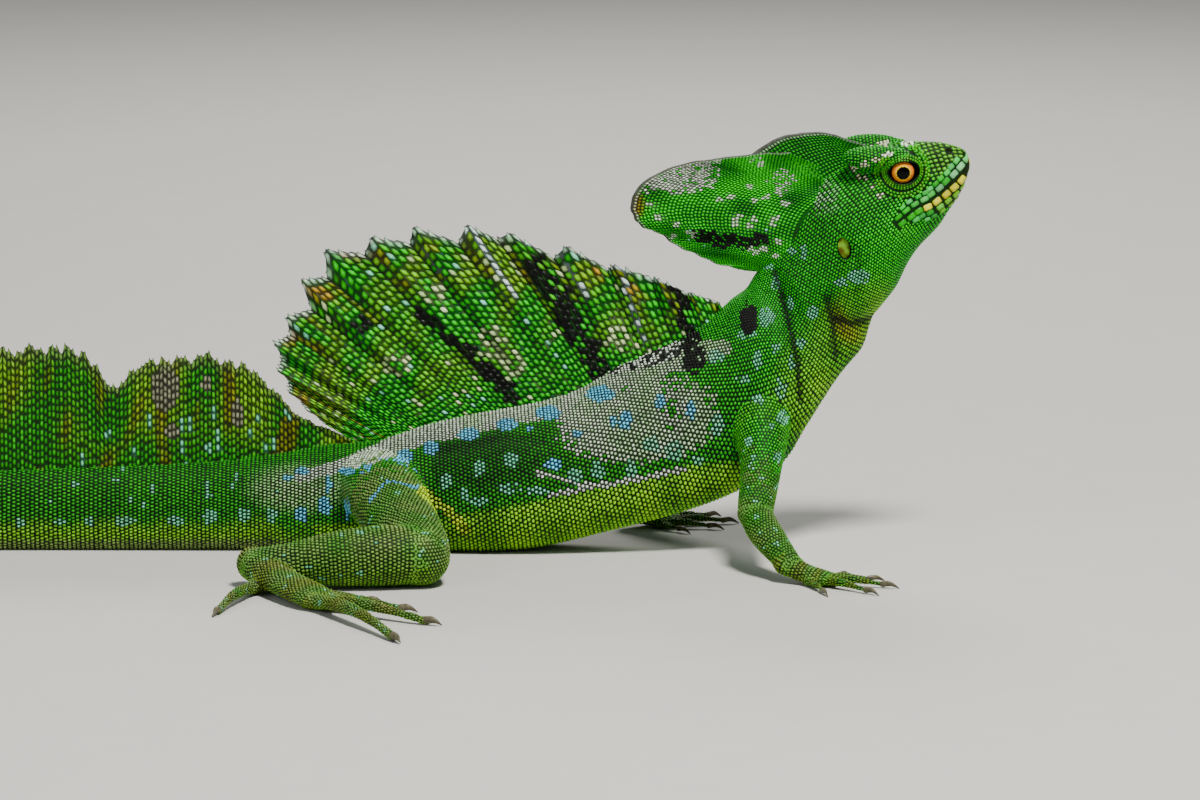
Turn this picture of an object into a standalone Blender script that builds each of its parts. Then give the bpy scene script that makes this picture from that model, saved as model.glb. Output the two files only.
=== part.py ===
"""A green basilisk, adult male, life size, lying on its belly with the chest raised.

Tables and sizes are in millimetres, and MM turns them into metres. +X runs towards the head,
+Z is up, and the right side faces -Y. The origin is on the flat of the belly that rests on
the floor. Each piece is built in place, so that its object sits at the origin.
"""

import math

import bmesh
import bpy
import numpy as np
from mathutils import Matrix, Vector
from mathutils.bvhtree import BVHTree

MM = 0.001
GAP = 0.3
SIDES = 24
TAIL_SIDES = 16
LIMB_SIDES = 12
LIMB_RINGS = 9
SOLE_SIDES = 8
TOE_SIDES = 6

# The trunk from the root of the tail to the snout, as sections from the back's line down to the
# belly's: x and z on top, x and z below, half the width, and how high the widest place lies.
TRUNK = (
    (-40.0, 33.5, -40.0, -0.7, 10.5, 0.50),
    (-25.0, 35.0, -24.0, -0.9, 12.8, 0.48),
    (-9.4, 40.0, -7.0, -0.9, 14.8, 0.46),
    (6.6, 43.5, 11.0, -0.7, 16.4, 0.45),
    (20.6, 46.0, 27.0, 1.2, 17.2, 0.45),
    (35.0, 50.0, 43.0, 5.0, 17.2, 0.45),
    (47.0, 56.5, 59.0, 9.0, 16.8, 0.45),
    (59.5, 62.0, 75.0, 13.6, 16.2, 0.46),
    (71.0, 68.0, 89.0, 19.4, 15.4, 0.48),
    (79.5, 74.3, 101.0, 27.3, 14.2, 0.50),
    (85.0, 79.6, 108.5, 39.0, 12.8, 0.50),
    (89.2, 82.6, 116.0, 50.5, 11.8, 0.50),
    (91.2, 86.0, 122.8, 60.0, 11.2, 0.50),
    (94.0, 89.6, 126.8, 68.0, 11.8, 0.52),
    (97.5, 94.0, 130.6, 74.4, 12.6, 0.52),
    (103.5, 103.5, 136.4, 82.5, 13.2, 0.50),
    (111.0, 115.0, 139.8, 90.0, 13.0, 0.50),
    (120.0, 123.0, 143.0, 95.0, 12.0, 0.50),
    (128.0, 127.0, 146.2, 98.3, 10.8, 0.52),
    (135.5, 128.8, 149.6, 102.2, 9.4, 0.50),
    (142.2, 129.3, 152.4, 107.0, 7.8, 0.48),
    (148.4, 129.0, 155.4, 111.5, 6.4, 0.47),
    (153.4, 127.9, 157.2, 115.5, 5.2, 0.47),
    (157.0, 126.2, 158.4, 119.2, 3.6, 0.47),
    (158.3, 124.4, 158.8, 121.2, 1.6, 0.47),
)
TORSO_END = 10
NECK_END = 14
RINGS_BETWEEN = 2
TOP_POWER = 1.8
BOTTOM_POWER = 2.3

# The tail from its root to its tip: the share of its length, its depth and half its width, and the
# way it heads, in degrees off straight back and towards the left side.
TAIL_LENGTH = 560.0
TAIL = (
    (0.00, 34.2, 10.5, 0.0),
    (0.07, 28.5, 8.8, 0.0),
    (0.20, 25.4, 7.6, 0.0),
    (0.34, 21.0, 6.9, 4.0),
    (0.46, 16.6, 6.1, 18.0),
    (0.60, 12.5, 5.0, 30.0),
    (0.75, 8.6, 3.8, 10.0),
    (0.90, 5.2, 2.5, -20.0),
    (1.00, 2.4, 1.2, -30.0),
)
TAIL_SINK = 0.7
TAIL_NODES = (0.0, 0.20, 0.40, 0.60, 0.80, 1.0)
TAIL_RINGS = 8

# The head is rolled about its own length, with its top towards the right side.
HEAD_AXIS_POINT = Vector((130.0, 0.0, 105.0))
HEAD_PITCH = math.radians(24.5)
HEAD_ROLL = math.radians(10.0)
ROLL_START = 10
ROLL_END = 13

# Sheets that stand on the body: the rows of the trunk's table they grow from, and the rim's line.
# The sail's lobes from the rear forwards: the row of the trunk's table its ray grows from, the
# ray's tip, and the edge's lowest place ahead of it, each x and z.
SAIL_LOBES = (
    (0.85, -42.2, 39.4, -45.6, 42.6),
    (1.05, -47.6, 43.8, -50.4, 47.4),
    (1.28, -53.2, 49.4, -53.6, 53.6),
    (1.55, -56.8, 56.4, -55.4, 60.4),
    (1.85, -57.8, 64.9, -53.0, 67.5),
    (2.20, -53.9, 73.4, -46.3, 75.5),
    (2.85, -49.4, 85.2, -41.3, 85.6),
    (3.40, -41.8, 94.6, -29.6, 93.0),
    (3.95, -27.4, 98.6, -15.4, 96.4),
    (4.65, -14.3, 101.8, -0.4, 96.6),
    (5.30, 2.3, 102.4, 11.7, 97.6),
    (5.85, 15.8, 99.8, 29.4, 91.8),
    (6.45, 33.3, 95.6, 46.3, 88.2),
    (7.10, 47.4, 89.6, 60.4, 85.2),
    (7.90, 61.2, 85.4, 71.0, 80.6),
    (8.60, 71.8, 80.8, 80.2, 78.0),
    (9.40, 81.0, 77.8, 83.0, 77.2),
)
LOBE_COLUMNS = 4
RAY_HEIGHT = 0.35
REAR_CREST_ROWS = (13.7, 17.0)
REAR_CREST_RIM = (
    (88.5, 88.3), (75.0, 92.6), (62.5, 99.8), (53.6, 106.5), (56.5, 117.0), (75.0, 124.0),
    (102.0, 126.5),
)
FRONT_CREST_ROWS = (15.6, 18.2)
FRONT_CREST_RIM = ((88.0, 124.0), (99.0, 131.0), (112.0, 132.5), (126.0, 128.0))

# The tail crest's rim, as the distance along the tail and the height above it.
TAIL_CREST_RIM = (
    (-0.8, 3.5), (5.7, 7.0), (11.4, 12.0), (18.5, 21.0), (22.8, 26.0), (26.3, 30.0),
    (39.7, 35.0), (58.0, 34.0), (67.0, 27.0), (70.5, 26.5), (74.0, 34.5), (82.5, 40.0),
    (97.0, 39.5), (115.0, 40.0), (140.0, 38.0), (170.0, 34.0), (205.0, 26.0), (240.0, 15.0),
    (270.0, 5.0),
)
CREST_TOOTH = 0.94
CREST_SPLIT = 105.0
CREST_PARTING = (-43.1, 0.0, 40.3)
CREST_NORMAL = (0.61, 0.0, 0.79)

# The head's small parts, in the head's own frame before it is rolled.
EYE = (136.6, -5.4, 122.0)
EYE_RADIUS = 5.0
LID_RADIUS = 6.4
LID_OPENING = (4.4, 3.9)
BROW_FROM_EYE = (-8.6, -1.4, 5.4)
BROW_SIZE = (10.5, 3.8, 2.5)
NOSTRIL = (151.8, -2.9, 127.0)
NOSTRIL_RADIUS = 0.9
EAR = (118.4, 98.6)
EAR_SIZE = (1.9, 3.4)
EAR_DEPTH = 1.3
EAR_TILT = math.radians(12.0)
MOUTH = (
    (160.5, 124.8), (154.3, 117.2), (147.0, 112.2), (140.6, 108.7), (134.8, 105.2), (130.0, 101.5),
)
MOUTH_WIDTH = 0.55
MOUTH_DEPTH = 0.9
LIP_RADIUS = 1.1

# Each limb's path from its root to its end: x, y and z, and half its width across and up.
# The roots lie inside the trunk, and each lower limb starts where its upper one ends.
HIP = (-26.0, 21.0)
SHOULDER = (93.0, 45.0)
RIGHT_THIGH = (
    (*HIP[:1], -5.0, *HIP[1:], 12.5, 11.5), (-22.0, -21.0, 19.0, 12.2, 11.5),
    (-17.0, -38.0, 14.5, 11.4, 11.0), (-12.5, -53.0, 10.6, 10.2, 10.2),
    (-11.0, -60.0, 9.3, 9.3, 9.3),
)
RIGHT_SHANK = (
    (*RIGHT_THIGH[-1][:3], 8.6, 8.8), (-22.0, -62.0, 9.8, 9.0, 9.4), (-36.0, -63.5, 9.2, 8.0, 8.6),
    (-50.0, -64.0, 8.0, 5.8, 6.4), (-61.0, -63.0, 7.0, 5.0, 5.4),
)
LEFT_THIGH = (
    (*HIP[:1], 5.0, *HIP[1:], 12.5, 11.5), (-17.0, 20.0, 19.0, 12.2, 11.5),
    (-4.0, 36.0, 14.5, 11.4, 11.0), (8.0, 49.0, 10.6, 10.2, 10.2), (13.0, 54.5, 9.3, 9.3, 9.3),
)
LEFT_SHANK = (
    (*LEFT_THIGH[-1][:3], 8.6, 8.8), (1.0, 57.0, 9.8, 9.0, 9.4), (-14.0, 60.0, 9.2, 8.0, 8.6),
    (-29.0, 63.0, 8.0, 5.8, 6.4), (-39.0, 65.0, 7.0, 5.0, 5.4),
)
RIGHT_UPPER_ARM = (
    (*SHOULDER[:1], -5.0, *SHOULDER[1:], 9.5, 9.5), (94.0, -14.5, 39.0, 8.6, 8.2),
    (93.5, -25.0, 30.0, 6.6, 6.4), (92.0, -34.0, 21.0, 5.9, 5.8), (91.5, -37.0, 18.0, 5.6, 5.4),
)
RIGHT_FOREARM = (
    (*RIGHT_UPPER_ARM[-1][:3], 5.0, 5.0), (94.0, -43.0, 14.0, 5.4, 5.4),
    (98.5, -50.0, 9.0, 4.6, 4.6), (102.0, -55.0, 5.8, 3.8, 3.6),
)
LEFT_UPPER_ARM = (
    (*SHOULDER[:1], 5.0, *SHOULDER[1:], 9.5, 9.5), (86.0, 15.0, 39.0, 9.0, 8.6),
    (80.0, 23.0, 32.0, 7.2, 7.0), (73.0, 29.0, 25.0, 5.9, 5.8), (71.0, 30.5, 23.0, 5.6, 5.4),
)
LEFT_FOREARM = (
    (*LEFT_UPPER_ARM[-1][:3], 5.0, 5.0), (65.0, 32.0, 17.0, 5.6, 5.6), (58.5, 32.5, 10.5, 5.0, 5.0),
    (54.5, 33.0, 5.8, 4.0, 3.8),
)

# Feet and hands: the way each heads, in degrees. Sections of the sole: the distance from the
# root, half the width, half the depth and the height. Each toe: how far along and out from the
# root it leaves, the angle it leaves at, its bend, its length and its thickness.
FOOT_SECTIONS = (
    (-2.0, 5.0, 5.6, 7.2), (8.0, 5.4, 4.6, 5.6), (20.0, 6.4, 3.8, 4.4), (31.0, 7.2, 3.2, 3.6),
    (38.0, 6.4, 2.6, 3.0),
)
FOOT_TOES = (
    (28.0, -5.5, -38.0, -12.0, 16.0, 2.1),
    (33.0, -4.0, -22.0, -26.0, 27.0, 2.3),
    (35.0, -1.5, -8.0, -26.0, 43.0, 2.5),
    (35.0, 2.0, 2.0, 4.0, 55.0, 2.7),
    (8.0, 5.0, 52.0, -4.0, 32.0, 2.4),
)
HAND_SECTIONS = (
    (-2.0, 3.8, 3.8, 5.8), (4.0, 4.4, 3.0, 3.6), (9.0, 5.2, 2.4, 2.6), (12.5, 4.6, 2.0, 2.2),
)
HAND_TOES = (
    (6.0, -4.0, -52.0, -8.0, 10.0, 1.7),
    (9.0, -3.2, -24.0, -6.0, 15.0, 1.8),
    (10.5, -0.8, -4.0, -4.0, 19.0, 1.9),
    (9.5, 2.0, 16.0, 4.0, 19.0, 1.9),
    (7.0, 3.6, 46.0, 6.0, 12.5, 1.7),
)
TOE_LIFT = 0.82
CLAW_LENGTH = 4.6
RIGHT_FOOT_HEADING = -57.0
LEFT_FOOT_HEADING = 24.0
RIGHT_HAND_HEADING = -22.0
LEFT_HAND_HEADING = 16.0

GREEN = (0.05, 0.35, 0.03)
GOLD = (0.8, 0.45, 0.03)


def smooth_row(rows, share):
    """The row at a share, from 0 to 1, of a smooth curve through the rows."""
    place = min(max(share, 0.0), 1.0) * (len(rows) - 1)
    start = min(int(place), len(rows) - 2)
    t = place - start
    near = (min(max(k, 0), len(rows) - 1) for k in range(start - 1, start + 3))
    a, b, c, d = (np.array(rows[k], float) for k in near)
    return b + 0.5 * t * (c - a + t * (2 * a - 5 * b + 4 * c - d + t * (3 * (b - c) + d - a)))


def row_at(rows, key):
    """The row whose first value is key, between the rows of a table that rises in it."""
    firsts = [row[0] for row in rows]
    last = len(rows) - 1
    i = min(max(int(np.searchsorted(firsts, key)) - 1, 0), last - 1)
    low, high = i / last, (i + 1) / last
    for _ in range(30):
        middle = (low + high) / 2
        if smooth_row(rows, middle)[0] < key:
            low = middle
        else:
            high = middle
    return smooth_row(rows, low)


def smoothstep(low, high, value):
    t = min(max((value - low) / (high - low), 0.0), 1.0)
    return t * t * (3 - 2 * t)


def material(name, colour, roughness):
    """A plain skin, horn or eye material."""
    made = bpy.data.materials.get(name) or bpy.data.materials.new(name)
    made.use_nodes = True
    surface = made.node_tree.nodes["Principled BSDF"]
    surface.inputs["Base Color"].default_value = (*colour, 1.0)
    surface.inputs["Roughness"].default_value = roughness
    surface.inputs["Metallic"].default_value = 0.0
    return made


def object_of(name, points, faces):
    """A mesh object from points in millimetres."""
    mesh = bpy.data.meshes.new(name)
    mesh.from_pydata([tuple(Vector(p) * MM) for p in points], [], faces)
    mesh.update()
    made = bpy.data.objects.new(name, mesh)
    bpy.context.scene.collection.objects.link(made)
    return made


def loft(name, rings):
    """A closed body through rings of equally many points, with flat ends."""
    count = len(rings[0])
    points = [p for ring in rings for p in ring]
    faces = [tuple(range(count - 1, -1, -1))]
    for r in range(len(rings) - 1):
        for k in range(count):
            a, b = r * count + k, r * count + (k + 1) % count
            faces.append((a, b, b + count, a + count))
    last = (len(rings) - 1) * count
    faces.append(tuple(range(last, last + count)))
    made = object_of(name, points, faces)
    face_outwards(made)
    return made


def face_outwards(piece):
    """Turns the faces of a closed piece outwards."""
    mesh = bmesh.new()
    mesh.from_mesh(piece.data)
    bmesh.ops.recalc_face_normals(mesh, faces=mesh.faces)
    mesh.to_mesh(piece.data)
    mesh.free()


def apply_modifiers(piece):
    """Leaves the piece with the mesh that its modifiers make."""
    bpy.context.view_layer.update()
    evaluated = piece.evaluated_get(bpy.context.evaluated_depsgraph_get())
    mesh = bpy.data.meshes.new_from_object(evaluated)
    piece.modifiers.clear()
    piece.data = mesh


def boolean(piece, others, operation):
    """Joins the other pieces to this one, or cuts them from it, and removes them."""
    group = bpy.data.collections.new("group")
    bpy.context.scene.collection.children.link(group)
    for other in others:
        bpy.context.scene.collection.objects.unlink(other)
        group.objects.link(other)
    step = piece.modifiers.new(operation, "BOOLEAN")
    step.operation = operation
    step.operand_type = "COLLECTION"
    step.collection = group
    step.solver = "EXACT"
    apply_modifiers(piece)
    for other in others:
        bpy.data.objects.remove(other)
    bpy.data.collections.remove(group)
    return piece


def cut_away(piece, point, normal):
    """Cuts off what lies behind a plane, and closes the cut with a flat."""
    mesh = bmesh.new()
    mesh.from_mesh(piece.data)
    parts = list(mesh.verts) + list(mesh.edges) + list(mesh.faces)
    plane = {"plane_co": Vector(point) * MM, "plane_no": normal}
    found = bmesh.ops.bisect_plane(mesh, geom=parts, dist=1e-7, clear_inner=True, **plane)
    rim = [e for e in found["geom_cut"] if isinstance(e, bmesh.types.BMEdge) and e.is_boundary]
    if rim:
        bmesh.ops.holes_fill(mesh, edges=rim, sides=0)
    bmesh.ops.recalc_face_normals(mesh, faces=mesh.faces)
    mesh.to_mesh(piece.data)
    mesh.free()


def keep_largest(piece):
    """Drops all but the largest closed surface of a piece."""
    mesh = bmesh.new()
    mesh.from_mesh(piece.data)
    left = set(mesh.verts)
    groups = []
    while left:
        stack = [left.pop()]
        group = set(stack)
        while stack:
            for edge in stack.pop().link_edges:
                for vert in edge.verts:
                    if vert in left:
                        left.discard(vert)
                        group.add(vert)
                        stack.append(vert)
        groups.append(group)
    groups.sort(key=len)
    for group in groups[:-1]:
        bmesh.ops.delete(mesh, geom=list(group), context="VERTS")
    mesh.to_mesh(piece.data)
    mesh.free()


def node(piece, name, skin):
    """Finishes a piece as a named sub-part."""
    cut_away(piece, (0, 0, 0), (0, 0, 1))
    keep_largest(piece)
    piece.name = name
    piece.data.name = name
    piece.data.materials.clear()
    piece.data.materials.append(skin)
    piece.data.shade_smooth()
    piece.data.set_sharp_from_angle(angle=math.radians(40.0))
    return piece


def section(top, bottom, side, half_width, widest, grow, sides):
    """A ring from the top point down to the bottom one, with its widest place at a given height."""
    up = (top - bottom).normalized()
    low, height = bottom - up * grow, (top - bottom).length + 2 * grow
    bend = math.log(widest) / math.log(0.5)
    ring = []
    for k in range(sides):
        angle = 2 * math.pi * k / sides
        s, c = math.sin(angle), math.cos(angle)
        power = 2 / (TOP_POWER if c > 0 else BOTTOM_POWER)
        across = math.copysign(abs(s) ** power, s) * (half_width + grow)
        rise = (0.5 + 0.5 * math.copysign(abs(c) ** power, c)) ** bend
        ring.append(low + up * height * rise + side * across)
    return ring


def roll_head(point, share=1.0):
    """Turns a point with the head, about the head's own length."""
    axis = Vector((math.cos(HEAD_PITCH), 0.0, math.sin(HEAD_PITCH)))
    turn = Matrix.Rotation(HEAD_ROLL * share, 3, axis)
    return HEAD_AXIS_POINT + turn @ (Vector(point) - HEAD_AXIS_POINT)


def trunk_rings(first, last, grow=0.0):
    """The trunk's rings between two rows of its table."""
    rings = []
    for step in range(first * RINGS_BETWEEN, last * RINGS_BETWEEN + 1):
        place = step / RINGS_BETWEEN
        x_top, z_top, x_low, z_low, half_width, widest = smooth_row(TRUNK, place / (len(TRUNK) - 1))
        ring = section(
            Vector((x_top, 0, z_top)), Vector((x_low, 0, z_low)), Vector((0, -1, 0)),
            half_width, widest, grow, SIDES,
        )
        share = smoothstep(ROLL_START, ROLL_END, place)
        rings.append([roll_head(p, share) for p in ring])
    return rings


def tail_line():
    """The tail's middle on the floor and the way it heads, at close steps from root to tip."""
    steps = 140
    place, found = Vector((TRUNK[0][0], 0.0, 0.0)), []
    for k in range(steps + 1):
        turn = math.radians(row_at(TAIL, k / steps)[3])
        heading = Vector((-math.cos(turn), math.sin(turn), 0.0))
        found.append((place.copy(), heading))
        place = place + heading * (TAIL_LENGTH / steps)
    return found


TAIL_LINE = tail_line()


def tail_place(share):
    """The tail's middle on the floor at a share of its length, and the way it heads there."""
    place = min(max(share, 0.0), 1.0) * (len(TAIL_LINE) - 1)
    k = min(int(place), len(TAIL_LINE) - 2)
    (a, way), (b, _) = TAIL_LINE[k], TAIL_LINE[k + 1]
    return a.lerp(b, place - k), way


def tail_ring(share, grow=0.0):
    """The tail's ring at a share of its length."""
    _, depth, half_width, _ = row_at(TAIL, share)
    place, way = tail_place(share)
    low = place - Vector((0, 0, TAIL_SINK))
    side = Vector((way.y, -way.x, 0.0))
    return section(
        low + Vector((0, 0, depth)), low, -side, half_width, 0.47, grow, TAIL_SIDES
    )


def moved_in(ring, inner):
    """An end ring moved by half the gap towards the ring inside it."""
    middle = sum(ring, Vector()) / len(ring)
    normal = (ring[0] - middle).cross(ring[len(ring) // 4] - middle).normalized()
    inside = sum(inner, Vector()) / len(inner) - middle
    return [p + normal * math.copysign(GAP / 2, normal.dot(inside)) for p in ring]


def parted(rings, start=True, end=True):
    """Rings whose end faces stand back by half the gap from the next part."""
    rings = list(rings)
    if start:
        rings[0] = moved_in(rings[0], rings[1])
    if end:
        rings[-1] = moved_in(rings[-1], rings[-2])
    return rings


def tube(name, path, rings, sides, grow=0.0, rounding=(0.6, 0.95)):
    """A limb along a smooth path, with round ends, wide across and up as the path says."""
    rows = [smooth_row(path, k / (rings - 1)) for k in range(rings)]
    centres = [Vector(row[:3]) for row in rows]
    made = []
    for k, row in enumerate(rows):
        way = (centres[min(k + 1, rings - 1)] - centres[max(k - 1, 0)]).normalized()
        across = way.cross(Vector((0.0, 0.0, 1.0))).normalized()
        up = across.cross(way).normalized()
        wide, tall = row[3] + grow, row[4] + grow
        made.append((centres[k], way, across * wide, up * tall))

    def ring(centre, across, up):
        turns = (2 * math.pi * k / sides for k in range(sides))
        return [centre + across * math.sin(t) + up * math.cos(t) for t in turns]

    def end(place, sign):
        centre, way, across, up = place
        size = sign * (across.length + up.length) / 2
        shares = ((share, math.sqrt(1 - share**2)) for share in rounding)
        return [ring(centre + way * size * on, across * in_, up * in_) for on, in_ in shares]

    loops = end(made[0], -1)[::-1]
    loops += [ring(centre, across, up) for centre, way, across, up in made]
    loops += end(made[-1], 1)
    return loft(name, loops)


def sheet(name, edges, rows, thickness, lift=None):
    """A thin crest of columns, each from its root to its rim, with its two faces split alike.

    edges holds a root, a rim and the height of a ray for each column, thickness is that of the
    root and of the rim, and lift says where a place on a bent crest's flat drawing lies.
    """
    faces, points, columns = [], [], len(edges) - 1
    for side in (-1, 1):
        for root, rim, ray in edges:
            for r in range(rows + 1):
                v = r / rows
                x, z = np.array(root) * (1 - v) + np.array(rim) * v
                half = (thickness[0] + (thickness[1] - thickness[0]) * v**0.6) / 2
                half += ray * (1 - v) ** 0.5
                place = Vector((x, 0.0, z)) if lift is None else lift(x, z)
                normal = Vector((0.0, 1.0, 0.0)) if lift is None else lift.normal(x)
                points.append(place + normal * side * half)
    high = rows + 1
    back = (columns + 1) * high
    for c in range(columns):
        for r in range(rows):
            a = c * high + r
            b, d, e = a + high, a + 1, a + high + 1
            faces += [(a, b, e), (a, e, d)]
            faces += [(a + back, e + back, b + back), (a + back, d + back, e + back)]
    rim_path = [r for r in range(high)] + [c * high + rows for c in range(1, columns + 1)]
    rim_path += [columns * high + r for r in range(rows - 1, -1, -1)]
    rim_path += [c * high for c in range(columns - 1, 0, -1)]
    for k, a in enumerate(rim_path):
        b = rim_path[(k + 1) % len(rim_path)]
        faces += [(a, b, b + back), (a, b + back, a + back)]
    made = object_of(name, points, faces)
    face_outwards(made)
    return made


def ball(centre, size, name="ball", segments=14):
    """An ellipsoid with half sizes along its own x, y and z."""
    mesh = bmesh.new()
    bmesh.ops.create_uvsphere(mesh, u_segments=segments, v_segments=segments // 2 + 1, radius=1.0)
    shape = Matrix.Diagonal((*(s * MM for s in size), 1.0))
    bmesh.ops.transform(mesh, matrix=Matrix.Translation(Vector(centre) * MM) @ shape, verts=mesh.verts)
    data = bpy.data.meshes.new(name)
    mesh.to_mesh(data)
    mesh.free()
    made = bpy.data.objects.new(name, data)
    bpy.context.scene.collection.objects.link(made)
    return made


def oval_plug(centre, size, reach, tilt=0.0, name="plug", segments=16):
    """An upright oval bar along y, from one reach to the other, tilted in the side view."""
    rings = []
    for y in reach:
        ring = []
        for k in range(segments):
            angle = 2 * math.pi * k / segments
            x, z = size[0] * math.cos(angle), size[1] * math.sin(angle)
            turned = (x * math.cos(tilt) - z * math.sin(tilt), x * math.sin(tilt) + z * math.cos(tilt))
            ring.append(Vector((centre[0] + turned[0], y, centre[1] + turned[1])))
        rings.append(ring)
    return loft(name, rings)


def rolled(piece):
    """Turns a piece that was built beside the upright head with the head."""
    for vert in piece.data.vertices:
        vert.co = roll_head(vert.co / MM) * MM
    return piece


def mirrored(point, side):
    """A point of the right side, or the same one on the left."""
    return (point[0], point[1] * -side, point[2])


def head_side(x, z, side):
    """How far out the upright head's skin lies at a place in the side view."""
    rings = [
        [roll_head(p, -1.0) for p in ring] for ring in trunk_rings(NECK_END - 1, len(TRUNK) - 1)
    ]
    points = [p for ring in rings for p in ring]
    faces = []
    for r in range(len(rings) - 1):
        for k in range(SIDES):
            a, b = r * SIDES + k, r * SIDES + (k + 1) % SIDES
            faces.append((a, b, b + SIDES, a + SIDES))
    tree = BVHTree.FromPolygons(points, faces)
    hit = tree.ray_cast(Vector((x, side * 60.0, z)), Vector((0, -side, 0)))[0]
    return abs(hit.y)


def mouth_groove():
    """A thin curved wall along the mouth's line that only bites into the skin."""
    upper, lower, count = [], [], 10
    for k in range(count + 1):
        x, z = smooth_row(MOUTH, k / count)
        ahead, behind = smooth_row(MOUTH, (k + 0.5) / count), smooth_row(MOUTH, (k - 0.5) / count)
        way = Vector((ahead[0] - behind[0], 0, ahead[1] - behind[1])).normalized()
        off = Vector((-way.z, 0, way.x)) * MOUTH_WIDTH / 2
        upper.append(Vector((x, 0, z)) + off)
        lower.append(Vector((x, 0, z)) - off)
    outline = upper + lower[::-1]
    wall = loft("groove", [[p + Vector((0, y, 0)) for p in outline] for y in (-30.0, 30.0)])
    rolled(wall)
    core = loft("core", trunk_rings(NECK_END, len(TRUNK) - 1, grow=-MOUTH_DEPTH))
    return boolean(wall, [core], "DIFFERENCE")


def brow(side, grow=0.0):
    """The ridge over an eye."""
    centre = Vector(EYE) + Vector(BROW_FROM_EYE)
    return ball(mirrored(centre, -side), [size + grow for size in BROW_SIZE], segments=12)


def lips():
    """A low swelling above and below the mouth's line, on both sides of the head."""
    made = []
    for side in (-1, 1):
        for shift in (1.0, -1.0):
            path = []
            for share in (0.12, 0.3, 0.5, 0.7, 0.88):
                x, z = smooth_row(MOUTH, share)
                x, z = x - 0.5 * shift, z + 0.9 * shift
                y = side * (head_side(x, z, side) - 0.45)
                path.append((*roll_head((x, y, z)), LIP_RADIUS, LIP_RADIUS))
            made.append(tube("lip", path, 8, 6, rounding=(0.8,)))
    return made


def head(skin):
    """The head with brows, lids, lips and mouth, nostrils, and hollows for eyes and ears."""
    base = loft("head", parted(trunk_rings(NECK_END, len(TRUNK) - 1), end=False))
    added, taken = lips(), [mouth_groove()]
    for side in (-1, 1):
        lid = ball(mirrored(EYE, -side), (LID_RADIUS,) * 3)
        added += [rolled(brow(side)), rolled(lid)]
        socket = ball(mirrored(EYE, -side), (EYE_RADIUS + GAP,) * 3)
        far = side * 30.0
        opening = oval_plug((EYE[0], EYE[2]), LID_OPENING, (side * abs(EYE[1]), far))
        nostril = ball(mirrored(NOSTRIL, -side), (NOSTRIL_RADIUS,) * 3, segments=8)
        ear_y = head_side(*EAR, side)
        recess = oval_plug(EAR, (EAR_SIZE[0] + GAP, EAR_SIZE[1] + GAP), (side * (ear_y - EAR_DEPTH), far), EAR_TILT)
        taken += [rolled(p) for p in (socket, opening, nostril, recess)]
    boolean(base, added, "UNION")
    boolean(base, taken, "DIFFERENCE")
    return node(base, "head", skin)


def eyes(white):
    """An eyeball behind each pair of lids."""
    for side, name in ((-1, "eye_right"), (1, "eye_left")):
        eyeball = ball(mirrored(EYE, -side), (EYE_RADIUS,) * 3)
        node(rolled(eyeball), name, white)


def ears(skin):
    """An eardrum a little below the skin on each side."""
    for side, name in ((-1, "ear_right"), (1, "ear_left")):
        y = head_side(*EAR, side)
        drum = oval_plug(EAR, EAR_SIZE, (side * (y - EAR_DEPTH + GAP), side * (y - 0.25)), EAR_TILT)
        node(rolled(drum), name, skin)


def trunk(skin):
    """The torso and the neck, parted by thin planar cuts."""
    torso = loft("torso", parted(trunk_rings(0, TORSO_END)))
    node(torso, "torso", skin)
    neck = loft("neck", parted(trunk_rings(TORSO_END, NECK_END)))
    node(neck, "neck", skin)


def tail(skin):
    """The tail in lengths."""
    for n, (start, end) in enumerate(zip(TAIL_NODES[:-1], TAIL_NODES[1:]), 1):
        rings = [
            tail_ring(start + (end - start) * k / TAIL_RINGS) for k in range(TAIL_RINGS + 1)
        ]
        made = loft("tail", parted(rings, end=end < 1.0))
        node(made, f"tail_{n}", skin)


def grown_trunk(first, last):
    """The trunk with a skin as thick as the gap, to cut what stands on it."""
    return loft("grown", trunk_rings(first, last, grow=GAP))


def grown_tail(last):
    rings = [tail_ring(last * k / 24, grow=GAP) for k in range(25)]
    return loft("grown", rings)


class OnTail:
    """Places a point of the tail's crest, given as a distance along the tail and a height."""

    def __call__(self, along, high):
        place, _ = tail_place(along / TAIL_LENGTH)
        place = place if along > 0 else place + Vector((-along, 0, 0))
        return place + Vector((0, 0, high))

    def normal(self, along):
        _, way = tail_place(along / TAIL_LENGTH)
        return Vector((-way.y, way.x, 0.0))


def trunk_root(row, depth):
    """A place as far below the trunk's top line as the share of its depth says."""
    found = smooth_row(TRUNK, row / (len(TRUNK) - 1))
    return (1 - depth) * found[:2] + depth * found[2:4]


def plain_edges(rows, rims, depth, columns):
    """Columns that rise from a stretch of the trunk to a smooth rim."""
    shares = [c / columns for c in range(columns + 1)]
    roots = (trunk_root(rows[0] + (rows[1] - rows[0]) * share, depth) for share in shares)
    return [(root, smooth_row(rims, share), 0.0) for root, share in zip(roots, shares)]


def lobe_edges():
    """The sail's columns: each lobe has its ray at its tip, and its edge falls to the next ray."""
    edges = []
    for lobe, ahead in zip(SAIL_LOBES[:-1], SAIL_LOBES[1:]):
        tip, low = np.array(lobe[1:3]), np.array(lobe[3:5])
        for c in range(LOBE_COLUMNS):
            share = c / LOBE_COLUMNS
            row = lobe[0] + (ahead[0] - lobe[0]) * share
            rim = tip + (low - tip) * c / (LOBE_COLUMNS - 1)
            height = (RAY_HEIGHT, 0.0, RAY_HEIGHT / 2, 0.0)[c]
            edges.append((trunk_root(row, 0.12), rim, height))
    edges.append((trunk_root(SAIL_LOBES[-1][0], 0.12), SAIL_LOBES[-1][1:3], 0.0))
    return edges


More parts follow.
